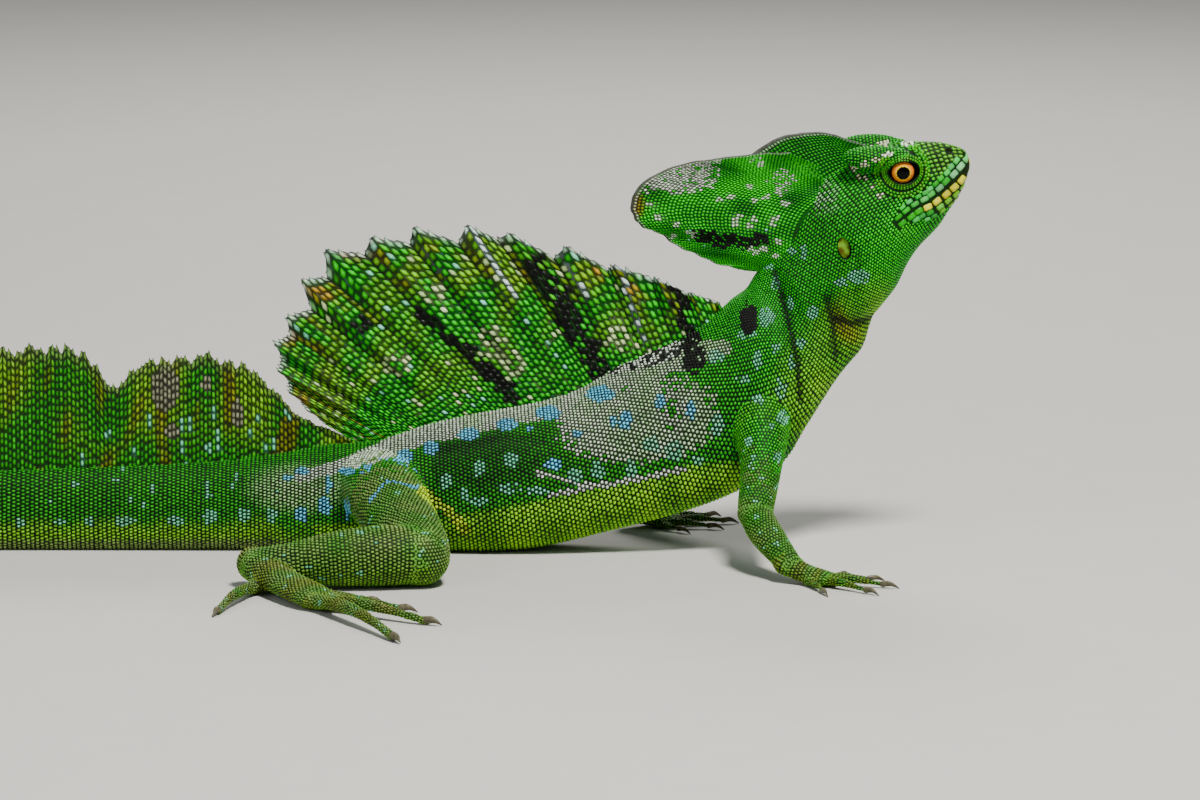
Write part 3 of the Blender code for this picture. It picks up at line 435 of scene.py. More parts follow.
def colour(name):
    return np.array(getattr(bpy.context.scene.basilisk_colours, name))


def smooth(low, high, value):
    """A smooth step from 0 to 1."""
    t = np.clip((np.asarray(value, float) - low) / (high - low), 0, 1)
    return t * t * (3 - 2 * t)


def curve(rows, place):
    """A table read anywhere between its rows, along a smooth curve through them."""
    rows = np.asarray(rows, float)
    place = np.clip(np.asarray(place, float), 0, len(rows) - 1)
    start = np.minimum(place.astype(int), len(rows) - 2)
    t = (place - start)[..., None]
    a, b, c, d = (rows[np.clip(start + k, 0, len(rows) - 1)] for k in (-1, 0, 1, 2))
    return b + 0.5 * t * (c - a + t * (2 * a - 5 * b + 4 * c - d + t * (3 * (b - c) + d - a)))


def curve_by_first(rows, key):
    """A table that rises in its first column, read at values of that column."""
    dense = np.linspace(0, len(rows) - 1, 60 * len(rows))
    return curve(rows, np.interp(key, curve(rows, dense)[:, 0], dense))


def table(rows, key):
    """A table of two columns read in straight lines between its rows."""
    return np.interp(key, [row[0] for row in rows], [row[1] for row in rows])


def unit(vectors):
    return vectors / np.maximum(np.linalg.norm(vectors, axis=-1, keepdims=True), 1e-9)


def rolled(points, share=1.0):
    """Points turned with the head, about the head's own length."""
    axis = np.array((math.cos(HEAD_PITCH), 0.0, math.sin(HEAD_PITCH)))
    arm = np.asarray(points, float) - HEAD_AXIS_POINT
    angle = HEAD_ROLL * np.asarray(share, float)[..., None]
    along = (arm @ axis)[..., None] * axis
    turned = arm * np.cos(angle) + np.cross(axis, arm) * np.sin(angle)
    return np.array(HEAD_AXIS_POINT) + turned + along * (1 - np.cos(angle))


def section_rings(top, low, side, half_width, widest):
    """Closed rings from the top points down to the low ones, one for each row."""
    turn = 2 * math.pi * np.arange(BODY_COLUMNS) / BODY_COLUMNS
    s, c = np.sin(turn), np.cos(turn)
    power = 2 / np.where(c > 0, TOP_POWER, BOTTOM_POWER)
    across = np.sign(s) * np.abs(s) ** power * half_width[:, None]
    bend = (np.log(widest) / math.log(0.5))[:, None]
    rise = (0.5 + 0.5 * np.sign(c) * np.abs(c) ** power) ** bend
    return low[:, None] + (top - low)[:, None] * rise[..., None] + side[:, None] * across[..., None]


def side_points(x, z):
    return np.stack([x, np.zeros_like(x), z], axis=-1)


def trunk_rings(rows):
    found = curve(TRUNK, rows)
    side = np.broadcast_to((0.0, -1.0, 0.0), (len(rows), 3))
    top, low = side_points(found[:, 0], found[:, 1]), side_points(found[:, 2], found[:, 3])
    rings = section_rings(top, low, side, found[:, 4], found[:, 5])
    share = np.broadcast_to(smooth(*ROLL_ROWS, rows)[:, None], rings.shape[:2])
    return rolled(rings, share)


def tail_line():
    """The tail's middle on the floor and its heading, at even steps from root to tip."""
    turn = np.radians(curve_by_first(TAIL, np.arange(TAIL_STEPS + 1) / TAIL_STEPS)[:, 3])
    way = np.stack([-np.cos(turn), np.sin(turn), np.zeros_like(turn)], axis=1)
    steps = np.cumsum(way[:-1] * (TAIL_LENGTH / TAIL_STEPS), axis=0)
    return np.vstack([[0, 0, 0], steps]) + (TRUNK[0][0], 0, 0), way


def on_tail(along):
    """Places on the tail's middle line and the way it heads there, by distance from its root."""
    line, ways = tail_line()
    at = np.clip(np.asarray(along) / TAIL_LENGTH, 0, 1) * TAIL_STEPS
    steps = np.arange(TAIL_STEPS + 1)
    place = np.stack([np.interp(at, steps, line[:, k]) for k in range(3)], axis=-1)
    way = np.stack([np.interp(at, steps, ways[:, k]) for k in range(3)], axis=-1)
    place[..., 0] += np.maximum(-np.asarray(along), 0)
    return place, unit(way)


def tail_rings(share):
    found = curve_by_first(TAIL, share)
    place, way = on_tail(share * TAIL_LENGTH)
    low = place - (0, 0, TAIL_SINK)
    top = low + found[:, 1, None] * np.array((0, 0, 1.0))
    side = np.stack([-way[:, 1], way[:, 0], way[:, 2]], axis=1)
    widest = np.full(len(share), TAIL_WIDEST)
    return section_rings(top, low, side, found[:, 2], widest)


def tube_rings(path, count=64, steps=60, cap_steps=7):
    """Rings of a limb with round ends, wide across and up as its path says."""
    rows = curve(path, np.linspace(0, len(path) - 1, steps))
    centres = rows[:, :3]
    way = unit(np.gradient(centres, axis=0))
    across = unit(np.cross(way, (0.0, 0.0, 1.0)))
    up = np.cross(across, way)
    turn = 2 * math.pi * np.arange(count) / count
    shape = across[:, None] * (np.sin(turn)[:, None] * rows[:, 3, None, None])
    shape = shape + up[:, None] * (np.cos(turn)[:, None] * rows[:, 4, None, None])
    lean = np.radians(np.linspace(8, 86, cap_steps))
    size = (rows[:, 3] + rows[:, 4]) / 2
    last = [centres[-1] + way[-1] * size[-1] * math.sin(a) + shape[-1] * math.cos(a) for a in lean]
    first = [centres[0] - way[0] * size[0] * math.sin(a) + shape[0] * math.cos(a) for a in lean]
    return np.concatenate([first[::-1], centres[:, None] + shape, last])


class Form:
    """A form's surface as rings of points at even steps, read anywhere along it and round it."""

    def __init__(self, name, rings, keys=None):
        self.name = name
        self.grid = np.array([self.evened(ring) for ring in rings])
        self.keys = np.arange(len(rings), dtype=float) if keys is None else keys
        self.find_normals()

    @staticmethod
    def evened(ring):
        closed = np.vstack([ring, ring[:1]])
        lengths = np.concatenate([[0], np.cumsum(np.linalg.norm(np.diff(closed, axis=0), axis=1))])
        even = np.arange(len(ring)) / len(ring) * lengths[-1]
        return np.stack([np.interp(even, lengths, closed[:, k]) for k in range(3)], axis=1)

    def find_normals(self):
        along = np.gradient(self.grid, axis=0)
        round_ = np.roll(self.grid, -1, axis=1) - np.roll(self.grid, 1, axis=1)
        normals = unit(np.cross(along, round_))
        middle = self.grid.mean(axis=1, keepdims=True)
        inward = (normals * (self.grid - middle)).sum(axis=(1, 2)) < 0
        normals[inward] *= -1
        self.normals = normals

    def push(self, amounts):
        """Moves the surface out or in by an amount at each point of its grid."""
        self.grid = self.grid + self.normals * amounts[..., None]
        self.find_normals()

    def read(self, values, row, turn):
        """Values of the grid at rows and turns that lie between."""
        count = self.grid.shape[1]
        row = np.clip(row, 0, len(self.grid) - 1.001)
        at = np.mod(turn, 1) * count
        r, k = row.astype(int), at.astype(int) % count
        up, past = (row - r)[..., None], (at - np.floor(at))[..., None]
        nxt = (k + 1) % count
        low = values[r, k] * (1 - past) + values[r, nxt] * past
        high = values[r + 1, k] * (1 - past) + values[r + 1, nxt] * past
        return low * (1 - up) + high * up

    def point(self, row, turn):
        return self.read(self.grid, row, turn)

    def girth(self):
        return np.linalg.norm(np.roll(self.grid, -1, axis=1) - self.grid, axis=2).sum(axis=1)

    def rows_at(self, spacing):
        """Places of rows along the form, apart by a spacing that is known for each ring."""
        quarter = self.grid.shape[1] // 4
        middle = self.grid.mean(axis=1)
        steps = np.linalg.norm(np.diff(self.grid[:, quarter], axis=0), axis=1)
        steps = (steps + np.linalg.norm(np.diff(middle, axis=0), axis=1)) / 2
        gone = np.concatenate([[0], np.cumsum(steps / ((spacing[1:] + spacing[:-1]) / 2))])
        return np.interp(np.arange(0.5, gone[-1], 1.0), gone, np.arange(len(gone)))

    def shell(self, every=(1, 1)):
        """The form's closed mesh as points and faces, with fewer rings or columns if asked."""
        grid = self.grid[:: every[0], :: every[1]]
        rows, count = grid.shape[:2]
        cells = np.arange(rows - 1)[:, None] * count + np.arange(count)
        nxt = np.arange(rows - 1)[:, None] * count + (np.arange(count) + 1) % count
        quads = np.stack([cells, nxt, nxt + count, cells + count], axis=-1).reshape(-1, 4)
        ends = [list(range(count)), list(range((rows - 1) * count, rows * count))[::-1]]
        return grid.reshape(-1, 3), [tuple(q) for q in quads] + [tuple(e) for e in ends]


def body_form():
    """The tail, trunk, neck and head as one form, keyed by distance or by the trunk's row."""
    shares = np.linspace(1, 0, 421)[:-1]
    rows = np.linspace(0, len(TRUNK) - 1, 481)
    rings = np.concatenate([tail_rings(shares), trunk_rings(rows)])
    form = Form("body", rings, np.concatenate([-shares * TAIL_LENGTH, rows]))
    form.push(body_folds(form))
    return form


def body_folds(form):
    """Folds of the neck, throat and flank, cheek and temple, as heights over the plain form."""
    x, height = seen(form.grid)
    key = form.keys[:, None] + 0 * x
    low = 0 * x
    for path, width, depth in FOLDS:
        away = distance_to(path, x, height)
        low = low + depth * np.exp(-((away / width) ** 2)) * (key > 0)
    for cx, cz, sx, sz, high in SWELLINGS:
        low = low + high * np.exp(-(((x - cx) / sx) ** 2) - ((height - cz) / sz) ** 2) * (key > 7)
    return low


# Folds of loose skin in the side view: their lines, widths and heights, below 0 for a crease.
FOLDS = (
    (((98.0, 86.0), (102.0, 72.0), (105.0, 58.0), (106.0, 46.0)), 1.0, -1.8),
    (((92.0, 80.0), (97.0, 68.0), (99.5, 56.0)), 1.7, 0.6),
    (((104.0, 84.0), (108.5, 70.0), (111.0, 56.0)), 1.8, 0.8),
    (((114.0, 78.0), (116.0, 70.0), (117.0, 60.0)), 1.2, -0.9),
    (((128.5, 72.0), (122.0, 70.0), (117.0, 71.5)), 1.3, -0.9),
    (WHITE_FOLDS[0], 1.0, 0.55),
    (WHITE_FOLDS[1], 0.9, 0.45),
    (((-6.2, 30.0), (12.0, 34.5), (26.0, 34.0)), 1.6, -0.5),
    (HUMP, 2.2, 0.7),
    (((117.0, 119.0), (110.0, 112.0), (106.0, 100.0)), 1.6, 0.5),
    (((121.9, 95.0), (124.0, 88.0), (124.0, 80.0)), 1.5, -0.45),
)
# Swellings of cheek, temple and jaw: x, height, half sizes, and how far they stand out.
SWELLINGS = (
    (126.0, 99.0, 8.0, 9.0, 1.3),
    (112.0, 106.0, 7.0, 9.0, 0.7),
    (124.5, 63.5, 5.0, 6.0, 1.7),
    (146.0, 119.0, 6.0, 3.0, -0.7),
    (128.5, 119.0, 3.0, 4.0, -0.5),
)


def seen(points):
    """A point's place in the side view: x, and its height on the camera's picture."""
    lift = math.radians(CAMERA_ELEVATION)
    return points[..., 0], points[..., 2] * math.cos(lift) - np.abs(points[..., 1]) * math.sin(lift)


def distance_to(path, x, height):
    """How far places in the side view lie from a broken line."""
    best = np.full(np.shape(x), 1e9)
    for (ax, az), (bx, bz) in zip(path[:-1], path[1:]):
        dx, dz = bx - ax, bz - az
        t = np.clip(((x - ax) * dx + (height - az) * dz) / (dx * dx + dz * dz), 0, 1)
        best = np.minimum(best, np.hypot(x - ax - t * dx, height - az - t * dz))
    return best


def oval(x, height, spot, soft=0.35):
    """1 inside an oval spot, and 0 outside, with a soft rim."""
    away = np.hypot((x - spot[0]) / spot[2], (height - spot[1]) / spot[3])
    return 1 - smooth(1 - soft, 1 + soft, away)


# How many waves make up the mottling, and what brings their sum to about 1.
WAVES = 9
WAVES_SUM = 4.2


def mottle(points, size, seed):
    """Smooth noise from -1 to 1 with patches of about the given size."""
    rng = np.random.default_rng(seed)
    ways = unit(rng.normal(size=(WAVES, 3))) * (2 * math.pi / size)
    ways = ways * rng.uniform(0.5, 1.3, (WAVES, 1))
    phases = rng.uniform(0, 2 * math.pi, WAVES)
    return np.sin(np.asarray(points) @ ways.T + phases).sum(axis=-1) / WAVES_SUM


def foot_frame(limb, heading, side):
    """A foot's root on the floor, the way it heads and the way to its outer side."""
    turn = math.radians(heading)
    way = np.array((math.cos(turn), math.sin(turn), 0.0))
    out = np.array((-way[1], way[0], 0.0)) * side
    return np.array((*limb[-1][:2], 0.0)), way, out


def toe_path(start, heading, bend, length, thickness):
    """A toe's path on the floor: places and half widths, from its root to its tip."""
    place, path = np.array(start, float), []
    for k in range(TOE_STEPS + 1):
        share = k / TOE_STEPS
        angle = math.radians(heading + bend * share)
        thick = thickness * (1 - TOE_TAPER * share)
        knuckle = thick * (1 + KNUCKLES * math.cos(share * 6 * math.pi))
        arch = math.sin(share * math.pi) * length * TOE_ARCH
        path.append((place[0], place[1], thick * TOE_LIFT + arch, knuckle, knuckle))
        place = place + np.array((math.cos(angle), math.sin(angle), 0.0)) * (length / TOE_STEPS)
    return path


def foot_forms(name, limb, heading, side, sections, toes):
    """The sole and the toes of a foot or a hand."""
    root, way, out = foot_frame(limb, heading, side)
    sole = [(*(root + way * a + (0, 0, z)), wide, tall) for a, wide, tall, z in sections]
    forms = [Form(name + "_sole", tube_rings(sole, 48, 40))]
    for n, (along, across, angle, bend, length, thick) in enumerate(toes):
        start = root + way * along + out * across
        path = toe_path(start, heading + side * angle, side * bend, length, thick)
        forms.append(Form(f"{name}_toe_{n}", tube_rings(path, 32, 60)))
    return forms


def shell_steps(form):
    """How many of a form's rings and columns one cell of its thinned shell spans."""
    return (2, 4) if form.name == "body" else (2, 2)


class Animal:
    """The forms, the skin made from them and the trees that find places on them."""

    def __init__(self):
        self.body = body_form()
        self.limbs = [Form(name, tube_rings(path)) for name, path in LIMBS]
        self.feet = [form for foot in FEET for form in foot_forms(*foot)]
        self.brows = brow_forms()
        self.forms = [self.body, *self.limbs, *self.feet, *self.brows]
        self.trees = {form.name: self.tree_of(form) for form in self.forms}
        self.skin_tree = None
        self.skin_normals = None
        self.skin_points = None

    @staticmethod
    def tree_of(form):
        points, faces = form.shell(shell_steps(form))
        return BVHTree.FromPolygons([tuple(p) for p in points], faces)

    def buried(self, points, form, depth=0.25):
        """Whether points of one form lie inside another one."""
        hidden = np.zeros(len(points), bool)
        for other in self.forms:
            if other is form:
                continue
            low, high = other.grid.min(axis=(0, 1)) - 1, other.grid.max(axis=(0, 1)) + 1
            near = np.flatnonzero(((points > low) & (points < high)).all(axis=1) & ~hidden)
            tree = self.trees[other.name]
            for i in near:
                found, _, face, _ = tree.find_nearest(points[i])
                row, turn = self.cell_of(other, face)
                outward = other.normals[row, turn]
                if np.dot(points[i] - np.array(found), outward) < -depth:
                    hidden[i] = True
        return hidden

    @staticmethod
    def cell_of(form, face):
        """The grid place of a face of the form's thinned shell."""
        every = shell_steps(form)
        columns = len(range(0, form.grid.shape[1], every[1]))
        row, turn = divmod(face, columns)
        return min(row * every[0], len(form.grid) - 1), min(turn * every[1], form.grid.shape[1] - 1)

    def cling(self, points):
        """The nearest places on the skin to points in millimetres, and the skin's way out there."""
        flat = np.asarray(points, float).reshape(-1, 3)
        places, normals = np.empty_like(flat), np.empty_like(flat)
        find = self.skin_tree.find_nearest
        for i, point in enumerate(flat):
            place, _, face, _ = find(point)
            places[i] = place
            normals[i] = self.skin_normals[face]
        return places.reshape(np.shape(points)), normals.reshape(np.shape(points))

    def from_side(self, x, z, side):
        """Places on the skin that lie over a place of the upright head's side view."""
        spots = np.stack([x, np.full_like(x, side * FAR_OUT), z], axis=-1).reshape(-1, 3)
        starts = rolled(spots)
        way = rolled(spots - (0, side, 0)) - starts
        middles = rolled(spots * (1, 0, 1))
        places, normals = np.empty_like(starts), np.empty_like(starts)
        for i, start in enumerate(starts):
            place, _, face, _ = self.skin_tree.ray_cast(Vector(start), Vector(way[i]), REACH_IN)
            if place is None:
                place, _, face, _ = self.skin_tree.find_nearest(middles[i])
            places[i] = place
            normals[i] = self.skin_normals[face]
        shape = (*np.shape(x), 3)
        return places.reshape(shape), normals.reshape(shape)


# How far beside the head a look from the side starts, and how far in it reaches.
FAR_OUT = 40.0
REACH_IN = 60.0
STATE = {}


def animal():
    """The animal's forms, made once."""
    if "animal" not in STATE:
        STATE["animal"] = Animal()
    return STATE["animal"]


class Sock:
    """A socket whose sums and products add the nodes that work them out."""

    def __init__(self, tree, socket):
        self.tree = tree
        self.socket = socket

    def math(self, operation, *others):
        return node(self.tree, "ShaderNodeMath", {"operation": operation}, (self, *others))

    def __add__(self, other):
        return self.math("ADD", other)

    def __mul__(self, other):
        return self.math("MULTIPLY", other)

    def __rsub__(self, other):
        return node(self.tree, "ShaderNodeMath", {"operation": "SUBTRACT"}, (other, self))

    def __sub__(self, other):
        return self.math("SUBTRACT", other)

    __radd__ = __add__
    __rmul__ = __mul__

    def clamped(self, low, high):
        return self.math("MAXIMUM", low).math("MINIMUM", high)


def node(tree, kind, settings=None, sockets=(), out=0):
    """Adds a node with its settings, then the values or links of its sockets."""
    made = tree.nodes.new(kind)
    for name, value in (settings or {}).items():
        setattr(made, name, value)
    named = sockets.items() if isinstance(sockets, dict) else enumerate(sockets)
    for key, value in named:
        if isinstance(value, Sock):
            tree.links.new(value.socket, made.inputs[key])
        else:
            made.inputs[key].default_value = value
    return Sock(tree, made.outputs[out])


def new_material(name, roughness, specular=0.5, coat=0.0):
    """A material, its node tree and its shader, with the constants on the shader's sockets."""
    made = bpy.data.materials.new(name)
    made.use_nodes = True
    surface = made.node_tree.nodes["Principled BSDF"]
    surface.inputs["Roughness"].default_value = roughness
    surface.inputs["Specular IOR Level"].default_value = specular
    surface.inputs["Coat Weight"].default_value = coat
    surface.inputs["Coat Roughness"].default_value = 0.12
    return made, made.node_tree, surface


def link(tree, value, surface, name):
    tree.links.new(value.socket, surface.inputs[name])


def noise(tree, scale, detail=2.0):
    """Noise over Object coordinates, with patches of about 1 / scale metres."""
    place = node(tree, "ShaderNodeTexCoord", out=3)
    return node(
        tree, "ShaderNodeTexNoise", {}, {"Vector": place, "Scale": scale, "Detail": detail}
    )


def tinted(tree):
    return node(tree, "ShaderNodeAttribute", {"attribute_name": "tint"})


def shaded(tree, tint, value):
    """A colour made lighter or darker by a number."""
    scale = node(tree, "ShaderNodeCombineXYZ", {}, (value, value, value))
    return node(tree, "ShaderNodeVectorMath", {"operation": "MULTIPLY"}, (tint, scale))


def bumped(tree, height, strength, distance):
    return node(
        tree, "ShaderNodeBump", {}, {"Strength": strength, "Distance": distance, "Height": height}
    )


def scale_material(name, roughness, grain, bump):
    """Horny scales that carry their own tint, with fine grain, sheen and wear."""
    made, tree, surface = new_material(name, roughness, SCALE_SPECULAR)
    fine = noise(tree, grain, 3.0)
    broad = noise(tree, 120.0, 2.0)
    link(tree, shaded(tree, tinted(tree), 0.72 + fine * 0.3 + broad * 0.26), surface, "Base Color")
    link(tree, (roughness - 0.12 + fine * 0.24).clamped(0.1, 0.9), surface, "Roughness")
    link(tree, bumped(tree, fine, bump, 0.0002), surface, "Normal")
    return made


SCALE_SPECULAR = 0.16
# Each finish's roughness, the scale of its grain and how strongly the grain stands out.
FINISHES = {
    "hide": (0.62, 2400.0, 0.5),
    "scales": (0.42, 1600.0, 0.25),
    "plates": (0.34, 900.0, 0.3),
    "membrane": (0.5, 1400.0, 0.35),
    "horn": (0.3, 1200.0, 0.2),
    "drum": (0.28, 1500.0, 0.3),
}


def material(name):
    """The finish of that name, made once."""
    return bpy.data.materials.get(name) or scale_material(name, *FINISHES[name])


def mesh_object(name, points, faces, finish):
    """A smooth mesh object from points in millimetres and faces."""
    mesh = bpy.data.meshes.new(name)
    mesh.from_pydata((np.asarray(points) * MM).tolist(), [], faces)
    mesh.update()
    made = bpy.data.objects.new(name, mesh)
    bpy.context.scene.collection.objects.link(made)
    mesh.materials.append(finish)
    mesh.shade_smooth()
    return made


def mesh_points(piece):
    """A mesh's points in metres."""
    points = np.empty(len(piece.data.vertices) * 3, np.float32)
    piece.data.vertices.foreach_get("co", points)
    return points.reshape(-1, 3)


def mesh_normals(piece):
    normals = np.empty(len(piece.data.vertices) * 3, np.float32)
    piece.data.vertex_normals.foreach_get("vector", normals)
    return normals.reshape(-1, 3)


def set_points(piece, points):
    """Moves a mesh's points to places in metres."""
    piece.data.vertices.foreach_set("co", points.astype(np.float32).ravel())
    piece.data.update()


def face_outwards(piece):
    mesh = bmesh.new()
    mesh.from_mesh(piece.data)
    bmesh.ops.recalc_face_normals(mesh, faces=mesh.faces)
    mesh.to_mesh(piece.data)
    mesh.free()


def set_tint(piece, colours):
    layer = piece.data.color_attributes.new("tint", "FLOAT_COLOR", "POINT")
    full = np.ones((len(colours), 4), np.float32)
    full[:, :3] = colours
    layer.data.foreach_set("color", full.ravel())


def select_only(piece):
    bpy.ops.object.select_all(action="DESELECT")
    piece.select_set(True)
    bpy.context.view_layer.objects.active = piece


def apply(piece, kind, **settings):
    """Adds a modifier with its settings and applies it."""
    select_only(piece)
    step = piece.modifiers.new(kind, kind)
    for name, value in settings.items():
        setattr(step, name, value)
    bpy.ops.object.modifier_apply(modifier=step.name)


# A cell of a staggered pattern of rows: how far its corners lie along it and across it.
CELL = ((1.22, 0.0), (0.72, 0.97), (-0.72, 0.97), (-1.22, 0.0), (-0.72, -0.97), (0.72, -0.97))
LONG_CELL = ((1.1, 0.0), (0.72, 0.95), (-0.72, 0.95), (-1.1, 0.0), (-0.72, -0.95), (0.72, -0.95))
# The cell of a scale on a crest's rim, which stands out past it as a tooth.
POINTED_CELL = ((1.2, 0.0), (0.0, 0.9), (-0.8, 0.95), (-1.0, 0.0), (-0.8, -0.95), (0.0, -0.9))
RIM_FROM = 0.985
MOST_HIGH = 1.03
# No scale's point lies lower than this, so that the model rests on the floor.
LOWEST = 0.02
# Levels of a scale, from its root up: how wide and how high, as shares.
GRANULE = ((1.0, -0.35), (0.77, 0.62))
PLATE = ((1.0, -0.35), (0.9, 0.6), (0.62, 0.95))
TOP_HIGH = 1.06
# Half the width of a scale's patch on the map.
PATCH_RADIUS = 0.0015
# How much of its tint a scale shows at each level and on top, by how many levels it has: painted shade
# at the root, a painted highlight on top.
LEVEL_PAINTED_SHADE_AND_HIGHLIGHT = {2: (0.02, 0.56, 1.75), 3: (0.03, 0.62, 1.0, 1.25)}
MOST_TRIANGLES = 196000
# How far the flat pattern on a limb's end reaches from its pole, as a share of its radius.
CAP_REACH = 0.95
# Rings of a limb with less girth than this bear no scales.
LEAST_GIRTH = 3.0


class Coat:
    """Scales gathered for one piece: centres, rims, ways out, heights, tints and places."""

    def __init__(self, name, levels=GRANULE, finish="scales"):
        self.name = name
        self.levels = levels
        self.finish = finish
        self.parts = []

    def add(self, centre, rim, out, height, tint, place, slope=0.0):
        count = len(centre)
        slopes = np.broadcast_to(slope, (count, rim.shape[1]))
        self.parts.append((centre, rim, out, np.broadcast_to(height, count), tint, place, slopes))

    def build(self):
        """Makes the coat's mesh objects, each with at most MOST_TRIANGLES triangles."""
        columns = [np.concatenate(column) for column in zip(*self.parts)]
        sides = columns[1].shape[1]
        most = MOST_TRIANGLES // (sides * (2 * len(self.levels) - 1))
        pieces = max(1, math.ceil(len(columns[0]) / most))
        share = math.ceil(len(columns[0]) / pieces)
        for n in range(pieces):
            part = [column[n * share : (n + 1) * share] for column in columns]
            name = self.name if pieces == 1 else f"{self.name}_{n + 1}"
            self.make_piece(name, *part)

    def make_piece(self, name, centre, rim, out, height, tint, place, slope):
        count, sides = rim.shape[:2]
        arm, loops = rim - centre[:, None], []
        for wide, high in self.levels:
            lift = height[:, None] * (high + slope * (high > 0))
            loops.append(centre[:, None] + arm * wide + out[:, None] * lift[..., None])
        top = centre + out * height[:, None] * TOP_HIGH
        points = np.concatenate([*loops, top[:, None]], axis=1)
        points[..., 2] = np.maximum(points[..., 2], LOWEST)
        each = sides * len(self.levels) + 1
        piece = self.raw_mesh(name, points.reshape(-1, 3), count, sides, each)
        self.paint(piece, tint, sides)
        self.unwrap(piece, place, sides)
        piece.data.materials.append(material(self.finish))
        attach(piece, "root")

    def raw_mesh(self, name, points, count, sides, each):
        """Quads between a scale's levels and a fan on top, for all scales at once."""
        k = np.arange(sides)
        n = (k + 1) % sides
        last = sides * (len(self.levels) - 1)
        quads = [
            np.stack([k, n, n + sides, k + sides], axis=1) + low for low in range(0, last, sides)
        ]
        fan = np.stack([k + last, n + last, np.full(sides, each - 1)], axis=1)
        corners = np.concatenate([np.concatenate(quads).ravel(), fan.ravel()])
        totals = np.concatenate([np.full(last, 4), np.full(sides, 3)])
        loops = (corners[None] + (np.arange(count) * each)[:, None]).ravel()
        totals = np.tile(totals, count)
        mesh = bpy.data.meshes.new(name)
        mesh.vertices.add(len(points))
        mesh.vertices.foreach_set("co", (points * MM).astype(np.float32).ravel())
        mesh.loops.add(len(loops))
        mesh.loops.foreach_set("vertex_index", loops.astype(np.int32))
        mesh.polygons.add(len(totals))
        starts = np.concatenate([[0], np.cumsum(totals)[:-1]])
        mesh.polygons.foreach_set("loop_start", starts.astype(np.int32))
        mesh.update(calc_edges=True)
        mesh.shade_smooth()
        made = bpy.data.objects.new(name, mesh)
        bpy.context.scene.collection.objects.link(made)
        return made

    def paint(self, piece, tint, sides):
        """Each scale's tint, with painted shade towards its root and a painted highlight on top."""
        shades = LEVEL_PAINTED_SHADE_AND_HIGHLIGHT[len(self.levels)]
        steps = np.repeat(shades[:-1], sides).tolist() + [shades[-1]]
        colours = tint[:, None] * np.array(steps)[None, :, None]
        set_tint(piece, np.clip(colours, 0, 1).reshape(-1, 3))

    def unwrap(self, piece, place, sides):
        """A small patch of the map for each scale, at its root's place."""
        turn = 2 * math.pi * np.arange(sides) / sides
        ring = np.stack([np.cos(turn), np.sin(turn)], axis=1) * PATCH_RADIUS
        spots = [ring * wide for wide, _ in self.levels] + [np.zeros((1, 2))]
        flat = (place[:, None] + np.concatenate(spots)[None]).reshape(-1, 2)
        layer = piece.data.uv_layers.new(name="OFBake")
        corners = np.empty(len(piece.data.loops), np.int32)
        piece.data.loops.foreach_get("vertex_index", corners)
        layer.uv.foreach_set("vector", flat[corners].astype(np.float32).ravel())


def turned_out(centre, rim, out):
    """Rims that run the same way round as their way out, so that faces point outwards."""
    first, second = rim[:, 0] - centre, rim[:, 1] - centre
    wrong = (np.cross(first, second) * out).sum(axis=1) < 0
    rim = rim.copy()
    rim[wrong] = rim[wrong, ::-1]
    return rim


def grid_of(form, spacing, counts):
    """Rows and turns of a staggered pattern of scales, with the half steps of each."""
    rows, found = form.rows_at(spacing), []
    half_row = np.gradient(rows) / 2
    for n, (row, half) in enumerate(zip(rows, half_row)):
        count = int(counts[int(row)])
        if count < FEWEST_IN_ROW:
            continue
        turn = (np.arange(count) + 0.5 * (n % 2)) / count
        found.append(cells_of(row, turn, half, 0.5 / count))
    return np.concatenate(found)


def cells_of(*columns):
    """A table of cells from columns, each a row of numbers or one number for all."""
    return np.stack(np.broadcast_arrays(*columns), axis=1)


def scatter(cells, rng):
    """Cells set slightly uneven, and the rows and turns of their corners."""
    cells = cells.copy()
    cells[:, 0] += rng.normal(0, JITTER, len(cells)) * cells[:, 2]
    cells[:, 1] += rng.normal(0, JITTER, len(cells)) * cells[:, 3]
    corners = np.array(CELL) * (1 - sizes().gap)
    corner_rows = cells[:, 0, None] + cells[:, 2, None] * corners[:, 0]
    corner_turns = cells[:, 1, None] + cells[:, 3, None] * corners[:, 1]
    return cells, corner_rows, corner_turns


def body_warp(turn, share):
    """Turns round the body, with wider steps towards the belly by a share."""
    return turn - share * np.sin(2 * math.pi * turn) / (2 * math.pi)


